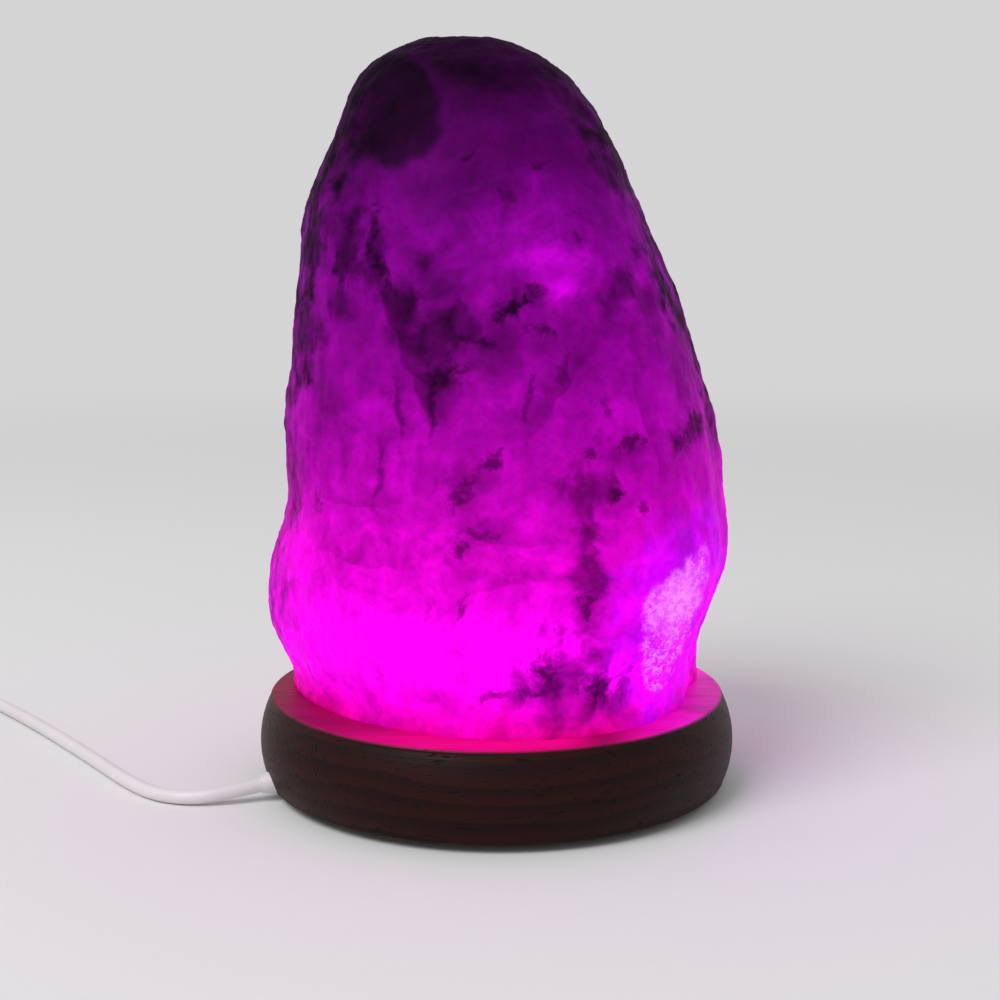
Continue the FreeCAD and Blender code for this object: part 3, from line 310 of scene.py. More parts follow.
def build_stage():
    disc = bmesh.new()
    bmesh.ops.create_circle(disc, cap_ends=True, segments=FLOOR_CORNERS, radius=FLOOR_RADIUS)
    mesh = bpy.data.meshes.new("floor")
    disc.to_mesh(mesh)
    disc.free()
    floor = bpy.data.objects.new("floor", mesh)
    bpy.context.scene.collection.objects.link(floor)
    mesh.materials.append(floor_finish())


def build_sky():
    """An even sky that lights the lamp, and that is seen in the tone of the far floor."""
    world = bpy.data.worlds.new("sky")
    bpy.context.scene.world = world
    world.use_nodes = True
    net = Net(world.node_tree)
    net.tree.nodes.clear()
    light = net.node("ShaderNodeBackground", None, {"Color": 1.0, "Strength": SKY_LIGHT})
    seen = net.node("ShaderNodeBackground", None, {"Color": FAR_TONE, "Strength": 1.0})
    first, second, third = [net.node("ShaderNodeLightPath", output=ray) for ray in RAYS_THAT_SEE]
    direct = maths("MAXIMUM", maths("MAXIMUM", first, second), third)
    both = net.node("ShaderNodeMixShader", None, {0: direct, 1: light, 2: seen})
    net.connect(net.tree.nodes.new("ShaderNodeOutputWorld").inputs["Surface"], both)


def hang_lamp():
    lamp = bpy.data.objects.new("studio_lamp", bpy.data.lights.new("studio_lamp", "AREA"))
    lamp.data.shape = "DISK"
    lamp.data.size = LAMP_WIDTH
    lamp.data.energy = LAMP_WATTS
    lamp.location = LAMP_PLACE
    aim = Vector(LAMP_AIMS_AT) - Vector(LAMP_PLACE)
    lamp.rotation_euler = aim.to_track_quat("-Z", "Y").to_euler()
    bpy.context.scene.collection.objects.link(lamp)


build_stage()
build_sky()
hang_lamp()
print("floor radius", FLOOR_RADIUS, "m, floor colour", PALE, "sky light", SKY_LIGHT)


# %% [markdown]
# ## The lead
# The lead is a thin round cord with two cores, 2.6 mm thick and 1.2 m long, as such five volt
# lamps have. It leaves the base low on the left, lies on the table in loose bends, goes through a
# small rocker switch and ends in a flat plug. What the picture doesn't show is wound into a neat
# coil. A cord is drawn best as a NURBS curve with a round bevel: a few control points steer it, and
# the curve stays smooth between them. The points are those of the CAD model, in metres. The curve
# cuts inside its control points, so the coil's own points lie a little outside its turns. A curve's
# box reaches out by the radius written at its points, so the thickness is written there, and the
# bevel depth is 1.

# %% The points that steer the lead
CORD_DIAMETER = 0.0026
LAMP_TO_SWITCH = [
    (-0.0435, -0.0150, 0.00312), (-0.0477, -0.0164, 0.00245), (-0.0553, -0.0178, 0.00145),
    (-0.0626, -0.0154, 0.00135), (-0.0692, -0.0083, 0.00135), (-0.0785, 0.0054, 0.00135),
    (-0.0929, 0.0258, 0.00135), (-0.1080, 0.0455, 0.00135), (-0.1195, 0.0580, 0.00135),
    (-0.1330, 0.0655, 0.00135), (-0.1470, 0.0635, 0.00135), (-0.1545, 0.0550, 0.00170),
    (-0.1570, 0.0450, 0.00460), (-0.1570, 0.0352, 0.00460),
]
SWITCH_TO_COIL = [
    (-0.1570, -0.0022, 0.0046), (-0.1570, -0.0090, 0.0046), (-0.1570, -0.0169, 0.00135),
    (-0.1570, -0.0234, 0.00135),
]
COIL_START = Vector((-0.1570, -0.0260, 0.00135))
COIL_INNER_RADIUS = 0.0115
COIL_PITCH = 0.00305
COIL_LEVELS = 5
POINTS_PER_HALF_TURN = 7
COIL_LEAVES_BY = Vector((0.0, 0.0026, 0.0))
COIL_TO_PLUG = [(0.008, 0.0105), (0.019, 0.00405), (0.027, 0.00405)]


def coil_half_turns():
    """How far out each half turn lies, in steps, and how much it climbs."""
    going_in = [(level, 0.0) for level in range(COIL_LEVELS - 1, 0, -1)]
    going_out = [(level, 0.0) for level in range(1, COIL_LEVELS)]
    pile = going_in + [(0, COIL_PITCH)] + going_out
    return pile + [(COIL_LEVELS, COIL_PITCH)] + pile


def coil_points():
    """Control points round the coil, pushed out so that the curve itself has the turns' radius."""
    reach = 1.0 / math.cos(math.pi / (2 * POINTS_PER_HALF_TURN))
    here, side, heading = COIL_START.copy(), 1.0, -1.0
    points = []
    for level, climb in coil_half_turns():
        radius = COIL_INNER_RADIUS + level * COIL_PITCH / 2
        across = Vector((side * 2 * radius, 0.0, climb))
        for i in range(POINTS_PER_HALF_TURN):
            angle = (i + 0.5) / POINTS_PER_HALF_TURN * math.pi
            points.append(here + across * (1 - reach * math.cos(angle)) / 2
                          + Vector((0.0, heading * radius * reach * math.sin(angle), 0.0)))
        here = here + across
        side, heading = -side, -heading
    return points, here


turns, coil_end = coil_points()
SWITCH_TO_PLUG = SWITCH_TO_COIL + turns + [coil_end + COIL_LEAVES_BY]
straight_from = SWITCH_TO_COIL[-1][1]
SWITCH_TO_PLUG += [(coil_end.x, straight_from + along, height) for along, height in COIL_TO_PLUG]
print("steering points:", len(LAMP_TO_SWITCH), "to the switch,", len(SWITCH_TO_PLUG), "on to the plug")


# %% Draw the two stretches of lead
ROUND_STEPS = 5
LENGTH_STEPS = 6


def lay_cord(name, runs, diameter):
    """A round cord, or several like cords, each steered by its own points."""
    curve = bpy.data.curves.new(name, "CURVE")
    curve.dimensions = "3D"
    curve.bevel_depth = 1.0
    curve.bevel_resolution = ROUND_STEPS
    curve.resolution_u = LENGTH_STEPS
    curve.use_fill_caps = True
    for points in runs:
        spline = curve.splines.new("NURBS")
        spline.points.add(len(points) - 1)
        for point, place in zip(spline.points, points):
            point.co = (*place, 1.0)
            point.radius = diameter / 2
        spline.order_u = 3
        spline.use_endpoint_u = True
    cord = bpy.data.objects.new(name, curve)
    bpy.context.scene.collection.objects.link(cord)
    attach(cord, "lamp")
    return cord


lead_to_switch = lay_cord("lead_to_switch", [LAMP_TO_SWITCH], CORD_DIAMETER)
lead_to_plug = lay_cord("lead_to_plug", [SWITCH_TO_PLUG], CORD_DIAMETER)
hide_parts("cord_lamp_to_switch")
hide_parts("cord_switch_to_coil", "cord_coil", "cord_coil_to_plug")
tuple(SWITCH_TO_PLUG[0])


# %% [markdown]
# ## The salt crystal, its shape
# Rock salt is hewn with a hammer and rinsed, which leaves soft dents, a few ledges where a layer
# has split off, and a fine grain. The CAD piece has the right size and the bore for the light, but
# it is smooth. Sculpting by hand can't be repeated by a script, and a displacement in the material
# would be lost to other programs. So a copy of the CAD piece gets an even net of faces from a
# voxel remesh, and noise, ledges and hollows move its points along their normals.

# %% An even copy of a CAD piece
SALT_NET = 0.0008


def even_copy(name, node, size):
    """A copy of a CAD piece whose skin is a net of small, even faces."""
    piece = bpy.data.objects.new(name, cad_nodes[node].data.copy())
    bpy.context.scene.collection.objects.link(piece)
    remesh = piece.modifiers.new("even_net", "REMESH")
    remesh.mode = "VOXEL"
    remesh.voxel_size = size
    evaluated = piece.evaluated_get(bpy.context.evaluated_depsgraph_get())
    piece.data = bpy.data.meshes.new_from_object(evaluated)
    piece.modifiers.clear()
    return piece


crystal = even_copy("crystal", "salt_crystal", SALT_NET)
print("faces in the even net:", len(crystal.data.polygons))


# %% [markdown]
# Lumps and depths are in millimetres, and a depth counts outward. A ledge is a height at which the
# layer below sticks out further: it runs round part of the crystal, about a middle azimuth, and
# wanders up and down. A hollow is a shallow bowl about a point. The bore and the foot stay as they
# are, because the light unit and the wood fit them.

# %% Carve the copy
# Each kind of roughness: its lumps and its depth.
DENTS = (17.0, 0.40)
LUMPS = (5.0, 0.22)
GRAIN = (1.7, 0.08)
SPLITS = (3.5, 0.13)
SPLIT_STRETCH = Vector((2.2, 2.2, 0.35))
ROUGHENING, FINER_BY, OCTAVES = 0.6, 2.0, 3
# Each ledge: height, depth, middle azimuth and half span in degrees.
LEDGES = [
    (48, 0.35, 165, 50), (73.5, 0.30, 178, 45), (60, 0.35, 265, 40), (88, 0.50, 75, 60),
    (52, 0.60, 110, 60), (70, 0.40, 30, 35),
]
LEDGE_WANDERS = [(14.0, 4.0), (4.0, 1.2)]
LEDGE_EDGE = 0.5
LEDGE_FADES_FROM, LEDGE_FADES_TO = 2.0, 16.0
# Each hollow: middle, reach and depth.
HOLLOWS = [(Vector((-43.0, -4.0, 49.0)), 17.0, 0.95), (Vector((-33.0, -4.0, 103.5)), 13.0, 0.90)]
PRESSED_IN = 0.25
CARVED_FROM, FULLY_CARVED_FROM = 18.3, 20.5
BORE_REACHES = 16.0
BORE_ENDS = 43.5


def smooth_step(value, low, high):
    share = min(1.0, max(0.0, (value - low) / (high - low)))
    return share * share * (3 - 2 * share)


def waves(point, lump, reach):
    """Noise with lumps of that size, up to about that depth."""
    return noise.fractal(point / lump, ROUGHENING, FINER_BY, OCTAVES) * reach


def ledge_height(point):
    """How far the ledges push the skin out at a point."""
    azimuth = math.degrees(math.atan2(point.y, point.x))
    wander = sum(reach * noise.noise(point / lump) for lump, reach in LEDGE_WANDERS)
    pushed = 0.0
    for height, depth, middle, half_span in LEDGES:
        away = abs((azimuth - middle + 180.0) % 360.0 - 180.0)
        along = 1.0 - smooth_step(away, half_span / 2, half_span)
        below = height + wander - point.z
        fade = 1.0 - smooth_step(below, LEDGE_FADES_FROM, LEDGE_FADES_TO)
        pushed += depth * along * smooth_step(below, -LEDGE_EDGE, LEDGE_EDGE) * fade
    return pushed


def hollow_depth(point):
    """How deep the hollows are at a point."""
    return sum(depth * (1.0 - smooth_step((point - middle).length, 0.0, reach))
               for middle, reach, depth in HOLLOWS)


def carving_at(point):
    """How far the skin moves outward at a point: nothing in the bore and at the foot."""
    if math.hypot(point.x, point.y) < BORE_REACHES and point.z < BORE_ENDS:
        return 0.0
    rough = sum(waves(point, *kind) for kind in (DENTS, LUMPS, GRAIN))
    rough += waves(point * SPLIT_STRETCH, *SPLITS)
    share = smooth_step(point.z, CARVED_FROM, FULLY_CARVED_FROM)
    return share * (rough + ledge_height(point) - hollow_depth(point) - PRESSED_IN)


def carve(piece):
    """Moves every point of the skin. The normals are read first, because each move changes them."""
    mesh = piece.data
    normals = [vertex.normal.copy() for vertex in mesh.vertices]
    moves = [carving_at(vertex.co * MM_PER_METRE) for vertex in mesh.vertices]
    moved = [vertex.co + normal * (move / MM_PER_METRE)
             for vertex, normal, move in zip(mesh.vertices, normals, moves)]
    mesh.vertices.foreach_set("co", [number for place in moved for number in place])
    mesh.update()
    return min(moves), max(moves)


deepest, furthest = carve(crystal)
for face in crystal.data.polygons:
    face.use_smooth = True
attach(crystal, "lamp")
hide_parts("salt_crystal")
print("the carving moves the skin by", round(deepest, 2), "to", round(furthest, 2), "mm")


# %% [markdown]
# ## The salt crystal, its glow
# Lit salt doesn't look like a painted surface: the light comes from inside, strong near the bore
# and weaker higher up, and every stain, crack and cloud in the salt holds some of it back. Real
# scattering through the whole lump would be slow and noisy, and would depend on where the lights
# are. So the glow is drawn as the light that leaves the skin. It is worked out as a brightness
# from 0 to 1 as the eye sees it: a ramp over height, then clouds and upright streaks, and then the
# darker and brighter spots of this crystal's glow, each at its own place. The dark spots on the
# left and right outline are painted shade, where the glow falls off at the edges of the lump.
# A spot is an ellipse about a point, seen from the front. One Mapping node turns the ellipse into
# a circle of radius 1, and noise added to the distance from its middle frays its edge like smoke.

# %% Dark and bright spots
FRONT_Y = -30.0
STAIN_DEPTH = 60.0


def turned_to(place, middle, lean, size):
    """The place as seen from a middle on the front, leaning to the right, with size as the unit."""
    x, z = middle
    across, along = size
    return place.net.node("ShaderNodeMapping", {"vector_type": "TEXTURE"},
                          {"Vector": place, "Location": (x, FRONT_Y, z), "Rotation": (0.0, lean, 0.0),
                           "Scale": (across, STAIN_DEPTH, along)})


def light_past_spots(place, fray, spots, soft):
    """What the spots leave of the light: 1 off them, less on a dark spot and more on a bright one."""
    left = 1.0
    for x, z, half_width, half_height, lean, held in spots:
        circle = turned_to(place, (x, z), math.radians(lean), (half_width, half_height))
        left = left * step(length_of(circle) + fray, 1.0 - soft, 1.0, 1.0 - held)
    return left


# Each spot: x and z of its middle, half width, half height, lean to the right in degrees, and the
# share of the light that it holds back. A share below 0 is a bright place.
# The dark spots whose middles lie on the left or right outline are painted shade, where the glow falls
# off at the edges of the lump.
BROAD_SPOTS = [
    (-20, 122, 11, 10, 0, 0.30), (-28, 120, 7, 16, 12, 0.50), (-33.8, 103, 6, 20, 6, 0.60),
    (-25.5, 100, 3.8, 11, 0, 0.40), (-20.5, 99.5, 3.6, 9, 0, 0.42), (-15.5, 90.5, 5.5, 9, -10, 0.42),
    (-10.2, 85.5, 5.5, 11, -12, 0.34), (-9.5, 75, 3.6, 6, 0, 0.28), (-5, 88, 5.5, 5, 0, 0.28),
    (0, 84, 5, 9, 0, 0.18), (4, 92, 5, 4, 0, 0.28), (-4.5, 131, 9, 3.4, 18, 0.36),
    (10, 132, 7, 4, -20, 0.35), (20.5, 118.5, 6, 15, -32, 0.66), (31, 98, 6, 17, -23, 0.62),
    (21, 93.5, 4.2, 7, 25, 0.36), (26.5, 91.5, 5, 7, 0, 0.28), (34, 90.5, 4.5, 9, -15, 0.60),
    (41, 74, 5, 20, -12, 0.80), (33.5, 68.5, 5, 5, 0, 0.26), (5.2, 71, 4.6, 7, 15, 0.08),
    (10.5, 82, 4.5, 4.5, 0, -0.16), (0, 77.5, 4.5, 4, 0, -0.14), (5, 64.5, 4.5, 4, 0, -0.12),
    (10, 78, 5, 5, 0, 0.08), (21, 67, 6, 5, 0, 0.26), (15, 60, 6.5, 7, 0, 0.42),
    (15.3, 44, 4.2, 19, 0, 0.36), (12, 30.5, 9, 8.5, 0, 0.34), (-5, 61, 5, 6.5, 25, 0.24),
    (-5.2, 52.5, 4.6, 7, 0, 0.20), (0, 54.5, 4.2, 3.5, 0, 0.16), (-7.5, 45.5, 4.6, 9, 0, 0.13),
    (-30.5, 76, 3.6, 14, 0, 0.18), (-42.5, 66, 9, 28, 5, 0.55), (-45.5, 38, 12, 17, 0, 0.36),
    (-45, 26, 7, 12, 0, 0.42), (-36, 19, 7, 4, 0, 0.16), (-35.5, 88, 6, 15, 4, 0.46),
    (-26.5, 105, 4.5, 13, 0, 0.26), (-10.5, 94.5, 7, 7.5, 0, 0.36), (-26.5, 92, 4.5, 6, 0, 0.28),
    (10.5, 36, 4, 12, 0, 0.15), (5, 27.5, 6, 4.5, 0, 0.18), (21, 22.5, 5.5, 5, 0, 0.30),
    (32.5, 84, 5, 12, -10, 0.12), (12, 24.5, 11, 6.5, 0, 0.28), (10.6, 97.5, 8.5, 6.5, 10, -0.24),
    (10.5, 92.5, 5, 4.6, 0, -0.18), (5, 104, 12, 7, 0, -0.10), (-21, 73, 7, 5, 0, -0.16),
    (9, 112, 7, 6, 0, -0.08),
]
SMALL_SPOTS = [
    (-21.5, 103, 1.4, 6.5, 6, 0.40), (-19, 97.5, 1.8, 4, -20, 0.40), (3.2, 92, 3, 2.6, 0, 0.56),
    (6.6, 94, 1.8, 2, 0, 0.40), (0.6, 89.4, 2, 1.6, 0, 0.36), (8, 87, 3.6, 1.2, 10, 0.36),
    (-8.5, 80.5, 4.5, 3, 0, 0.36), (-11, 74, 1.3, 5, 0, 0.36), (-4.8, 115.8, 1.2, 1.2, 0, 0.28),
    (7.1, 115.5, 1.5, 1.2, 0, 0.24), (1.9, 109.9, 2.6, 1.6, 0, 0.22), (12.8, 101.7, 1.6, 1.2, 0, 0.32),
    (11, 81, 1, 5, 25, 0.24), (35.5, 69.5, 2.8, 3.4, 0, 0.44), (31.5, 68, 2.2, 2, 0, 0.32),
    (23, 68.5, 3, 2, -30, 0.36), (15.3, 66, 1.6, 1.8, 0, 0.36), (18.5, 74, 1.1, 2.2, 0, 0.28),
    (25, 57.3, 1.4, 1.8, 0, 0.36), (19.8, 60.5, 1.6, 3, 0, 0.36), (-1, 65.2, 3.4, 1.7, -30, 0.40),
    (-5.6, 60, 1.8, 4, 25, 0.36), (-2.8, 53, 4, 1.4, 0, 0.28), (-5.8, 50.5, 1.4, 2.6, 0, 0.36),
    (-6, 41.5, 1.2, 3, 0, 0.36), (-20.5, 62, 0.8, 7.5, 0, 0.22), (-31.5, 56, 1.6, 3.5, 0, 0.28),
    (-17, 73, 0.8, 9, 0, 0.19), (-18.5, 51.5, 1.2, 1.6, 0, 0.20), (15.8, 47, 2.2, 7, 0, 0.16),
    (8.3, 31, 3.6, 4, 20, 0.40), (10.5, 37, 1.7, 2.4, 0, 0.28), (16.8, 26.5, 4, 3.6, 0, 0.44),
    (15, 40.5, 1.3, 4.5, 0, 0.32), (-1, 25.5, 3.8, 1.2, -8, 0.32), (4.5, 26.5, 3, 1.4, 0, 0.32),
    (-3, 85.6, 5, 1, 12, 0.34), (5.5, 76, 0.8, 4.5, 10, 0.26), (22, 27, 1.8, 3.8, 0, 0.32),
    (-38, 52.5, 1.6, 3, 0, 0.28),
]


# %% [markdown]
# Salt breaks along flat planes. Where a flake has gone, the skin is darker on one side of a crisp
# line and brightens again away from it. Each edge runs from one point to another; the dark side is
# on the right of that direction, or on the left where the width is negative.

# %% Broken edges
# Each edge: x and z where it starts, x and z where it ends, width, share of the light held back.
EDGES = [
    (-11.9, 69.4, -19.6, 93, 8, 0.24), (6.8, 69.4, 16.9, 85.5, -5, 0.14),
    (-17.3, 69.8, -17.5, 78.5, 2.5, 0.16), (-20.7, 59.2, -20.9, 69.4, 3, 0.16),
    (-31, 47.7, -15, 46.5, -5, 0.12), (-1.2, 51.5, 9.7, 52.5, -3, 0.12),
    (-4.6, 43.9, 10.2, 44.9, -5, 0.13), (-29, 57, -16.3, 57.6, -4, 0.12),
    (26.5, 62.5, 23.7, 80, 3.5, 0.14), (-9, 108, 4, 113, 5, 0.10),
]
EDGE_CRISP = 0.10
EDGE_ENDS = 0.15
EDGE_BACK = (0.55, 0.40)


def broken(place, edges):
    """What the broken edges leave of the light."""
    left = 1.0
    for x0, z0, x1, z1, width, held in edges:
        lean, length = math.atan2(x1 - x0, z1 - z0), math.hypot(x1 - x0, z1 - z0)
        beside = turned_to(place, (x0, z0), lean, (width, length))
        across, back, along = split(beside)
        dark = step(across, 0.0, EDGE_CRISP) * step(across, 1.0, EDGE_CRISP)
        dark = dark * step(along, -EDGE_ENDS, EDGE_ENDS)
        dark = dark * step(along, 1.0 + EDGE_ENDS, 1.0 - EDGE_ENDS)
        left = left * (1.0 - dark * step(back, *EDGE_BACK) * held)
    return left


# %% The glow over height
TALLEST = 140.0
# Each stop: height and brightness, or height and tint.
GLOW_BY_HEIGHT = [
    (18, 0.84), (22, 0.96), (28, 1.03), (37, 1.01), (43, 0.92), (48, 0.88), (52, 0.82), (58, 0.71),
    (64, 0.67), (69, 0.63), (73, 0.61), (78, 0.55), (82, 0.51), (87, 0.49), (92, 0.50), (97, 0.51),
    (102, 0.48), (107, 0.44), (112, 0.38), (118, 0.33), (124, 0.285), (131, 0.19), (138, 0.14),
]
TINT_BY_HEIGHT = [
    (18, (1, 0, 0.36)), (21, (1, 0, 0.62)), (27, (1, 0, 0.90)), (38, (1, 0, 0.90)), (48, (1, 0, 0.80)),
    (62, (1, 0, 0.90)), (80, (1, 0, 1.03)), (105, (0.96, 0, 1.12)), (138, (0.94, 0, 1.10)),
]


def ramp_over_height(z, stops):
    """A colour or brightness that depends on height in millimetres."""
    colours = [(height / TALLEST, value if isinstance(value, tuple) else (value,) * 3)
               for height, value in stops]
    return z.net.node("ShaderNodeValToRGB", {"stops": colours}, {0: z / TALLEST}, "Color")


# %% [markdown]
# Low on the right a piece has split off and left a rough, sugary face, which sends the violet
# light of the nearest chips straight out. High on the left the salt is thick and dull, with a crisp
# edge on its right. Both outlines are polygons, made of half planes: a point is inside when it is
# inside each of them. The specks of the sugary face are drawn out from front to back, because the
# face turns away to the side and they would look like upright hairs from the front.

# %% The sugary face and the dull cap
SUGAR_OUTLINE = [
    (36.8, 48.6), (32.2, 46.2), (25.7, 42.1), (25, 37.7), (26, 26), (28, 23.6), (30.6, 25.4),
    (34.6, 34), (37.6, 43),
]
CAP_OUTLINE = [
    (-26.5, 117), (-19.2, 115.2), (-12, 116.6), (-9.9, 119.3), (-9.9, 122), (-11.4, 128), (-14.4, 135),
    (-21, 135), (-26, 129),
]
OUTLINE_SOFT = 0.9
SUGAR_DRIFT = (2.2, 4.0, 4.0)
SUGAR_IN_FRONT = (6.0, -4.0)
FRONT_TO_BACK = (1.0, 0.35, 1.0)
SPECKS, SPECK_EDGE = (1.1, 5.0, 0.85), (0.43, 0.57)
GAPS, GAP_EDGE = (2.3, 4.0, 0.70), (0.52, 0.44)
GAPS_BELOW = (42.0, 33.0)
GAPS_TAKE = 0.9
SUGAR_HEART, HEART_FRAY, HEART_SOFT = (31.5, 40.0, 7.0, 10.0, 14.0, 1.0), 0.3, 0.9
SPECKS_SHINE, HEART_SHINES = 0.62, 0.45
CAP_IN_FRONT = (4.0, -4.0)
CAP_THICKENS = (-38.0, -16.0)
CAP_HOLDS = 0.44
VIOLET_DARK = (0.68, 0.01, 0.93)
LAVENDER = (1.0, 0.27, 1.0)


def inside_outline(place, outline):
    """1 inside a convex outline of (x, z) corners, listed anticlockwise as seen from the front."""
    x, _, z = split(place)
    depth = None
    for (x0, z0), (x1, z1) in zip(outline, outline[1:] + outline[:1]):
        length = math.hypot(x1 - x0, z1 - z0)
        from_side = (z - z0) * ((x1 - x0) / length) - (x - x0) * ((z1 - z0) / length)
        depth = from_side if depth is None else maths("MINIMUM", depth, from_side)
    return step(depth, -OUTLINE_SOFT, OUTLINE_SOFT)


def sugar(place, y):
    """How much of the sugary face there is at a place, and its sparkle from 0 to 1."""
    facing = place * FRONT_TO_BACK
    frayed = drift(place, *SUGAR_DRIFT)
    mask = inside_outline(frayed, SUGAR_OUTLINE) * step(y, *SUGAR_IN_FRONT)
    gaps = step(cloud(facing, *GAPS), *GAP_EDGE)
    gaps = gaps * step(split(frayed)[2], *GAPS_BELOW)
    specks = step(cloud(facing, *SPECKS), *SPECK_EDGE)
    heart = 1.0 - light_past_spots(frayed, specks * HEART_FRAY, [SUGAR_HEART], HEART_SOFT)
    return mask * (1.0 - gaps * GAPS_TAKE), specks * SPECKS_SHINE + heart * HEART_SHINES


def dull_cap(place, y):
    """What the dull cap leaves of the light."""
    cap = inside_outline(place, CAP_OUTLINE) * step(y, *CAP_IN_FRONT)
    thick = step(split(place)[0], *CAP_THICKENS)
    return 1.0 - cap * thick * CAP_HOLDS


# %% The whole salt finish
# Each kind of cloud: its lumps in millimetres, its detail and its roughness.
SMOKE = (11.0, 6.0, 0.60)
CURD = (4.2, 4.0, 0.62)
STREAKS = (3.0, 3.0, 0.5)
MIST = (1.5, 5.0, 0.68)
FRAY = (5.0, 4.0, 0.52)
VEINS = (8.5, 5.0, 0.62)
FINE_GRAIN = (0.9, 4.0, 0.6)
# Each drift: its lumps, its reach and its detail.
FAR_DRIFT = (10.0, 6.0, 2.0)
NEAR_DRIFT = (3.0, 1.6, 3.0)
UPRIGHT = (1.0, 1.0, 0.15)
HALF_UPRIGHT = (1.0, 1.0, 0.6)
SMOKE_SWING, CURD_SWING, STREAK_SWING, MIST_SWING = 0.76, 0.48, 0.14, 0.28
BROAD_FRAY, BROAD_SOFT = 1.8, 0.85
SMALL_FRAY, SMALL_SOFT = 2.8, 0.9
VEIN_EDGE = (0.53, 0.68)
VEINS_BEHIND = (-8.0, 12.0)
VEINS_HOLD = 0.42
DIMMEST = 0.03
SCREEN_GAMMA = 2.2
VIOLET_AREA, VIOLET_FRAY, VIOLET_SOFT = (34.0, 37.0, 19.0, 27.0, 8.0, 1.0), 0.5, 0.55
VIOLET = (0.78, 0.0, 1.10)
# The share of the drawn glow, with its painted light and shade, that goes into the body colour.
GLOW_IN_BODY_COLOUR = 0.16
SALT_DEPTH = 0.5


def held_back(place, near_drift, mist, fray, y):
    """What the stains, the veins behind, the cap and the broken edges leave of the light."""
    left = light_past_spots(place, fray, BROAD_SPOTS, BROAD_SOFT)
    small_fray = (mist - NOISE_MIDDLE) * SMALL_FRAY
    left = left * light_past_spots(near_drift, small_fray, SMALL_SPOTS, SMALL_SOFT)
    veins = step(cloud(near_drift * HALF_UPRIGHT, *VEINS), *VEIN_EDGE)
    left = left * (1.0 - veins * step(y, *VEINS_BEHIND) * VEINS_HOLD)
    return left * dull_cap(near_drift, y) * broken(near_drift, EDGES)


def tint_of_light(place, fray, ragged_z):
    """Magenta low down, purple higher up, and violet low on the right."""
    violet = 1.0 - light_past_spots(place, fray * VIOLET_FRAY, [VIOLET_AREA], VIOLET_SOFT)
    return blend(violet, ramp_over_height(ragged_z, TINT_BY_HEIGHT), VIOLET)


def salt_finish():
    finish = Finish("salt", {"Specular IOR Level": 0.02, "IOR": 1.544, "Emission Strength": 1.0})
    place = place_on(finish)
    far_drift = drift(place, *FAR_DRIFT)
    near_drift = drift(far_drift, *NEAR_DRIFT)
    y = split(place)[1]
    ragged_z = split(near_drift)[2]
    smoke, curd, mist = [cloud(near_drift, *kind) for kind in (SMOKE, CURD, MIST)]
    streaks = cloud(far_drift * UPRIGHT, *STREAKS)
    fray = (cloud(far_drift, *FRAY) - NOISE_MIDDLE) * BROAD_FRAY

    glow = ramp_over_height(ragged_z, GLOW_BY_HEIGHT)
    brightness = finish.node("ShaderNodeRGBToBW", None, {0: glow})
    brightness = brightness * swung(smoke, SMOKE_SWING) * swung(curd, CURD_SWING)
    brightness = brightness * swung(streaks, STREAK_SWING) * swung(mist, MIST_SWING)
    brightness = brightness * held_back(place, near_drift, mist, fray, y)
    brightness = maths("MAXIMUM", brightness, DIMMEST)
    light = tint_of_light(place, fray, ragged_z) * (brightness ** SCREEN_GAMMA)
    mask, sparkle = sugar(place, y)
    light = blend(mask, light, blend(sparkle, VIOLET_DARK, LAVENDER))

    grain = cloud(place, *FINE_GRAIN)
    relief(finish, grain * 0.35 + streaks * 0.40 + smoke * 0.25 + mask * sparkle * 0.5, SALT_DEPTH)
    # The body colour is the drawn glow turned down, so the salt's colour under the studio lamp carries
    # the same painted light and shade.
    finish.feed({"Base Color": light * GLOW_IN_BODY_COLOUR, "Emission Color": light,
                 "Roughness": 0.5 + mist * 0.2})
    return finish.material


crystal.data.materials.clear()
crystal.data.materials.append(salt_finish())
print("nodes in the salt finish:", len(crystal.data.materials[0].node_tree.nodes))


# %% [markdown]
# ## Dressing the CAD pieces
# All other pieces keep their CAD shape and only get a finish. Colours are written as the screen
# shows them, 0 to 255, because that is how they are judged, and turned into light here.

# %% Colours and dressing
def shown(red, green, blue):
    """A colour as the screen shows it, turned into the light that it stands for."""
    return tuple((part / 255.0) ** SCREEN_GAMMA for part in (red, green, blue))


def dress(material, *nodes):
    """Puts a material on whole CAD pieces."""
    for node in nodes:
        for slot in cad_nodes[node].material_slots:
            slot.material = material


# %% [markdown]
# ## The wooden base
# The base is turned from a flat board of a dark, reddish wood, stained and waxed. The fibres run
# from left to right. The year rings are cylinders about the heart of the tree, which lay below and
# in front of the board, so they cross the top as long arcs and the ends as nested curves. On top of
# that come short dark pores along the fibres and the fine rings that the turning tool left.
# The crystal's light spills onto the top face, brightest at the front and right.

# %% Turned wood
WOOD_DARK = shown(17, 5, 4)
WOOD_LIGHT = shown(50, 17, 12)
WOOD_PORE = shown(7, 3, 3)
HEART_OF_TREE = (0.0, 34.0, 58.0)
RING_WIDTH = 3.4
RING_DRIFT = (9.0, 5.0)
RING_RISES = (0.15, 0.90)
RING_DROPS = (1.0, 0.92)
ALONG_RINGS = (0.07, 1.0, 1.0)
ALONG_FIGURE = (0.22, 1.0, 1.0)
ALONG_FIBRES = (0.06, 1.0, 1.0)
ALONG_PORES = (0.14, 1.2, 1.2)
FIGURE = (11.0, 4.0)
FIBRES = (0.7, 4.0, 0.65)
PORES, PORE_EDGE = (0.8, 2.0), (0.60, 0.70)
PATCH_EDGE = (0.34, 0.60)
TOOL_MARKS = (0.55, 3.0, 0.6)
WOOD_DEPTH = 0.10
TOP_FACE = (17.4, 17.95)
TOP_RIM = (43.4, 42.3)
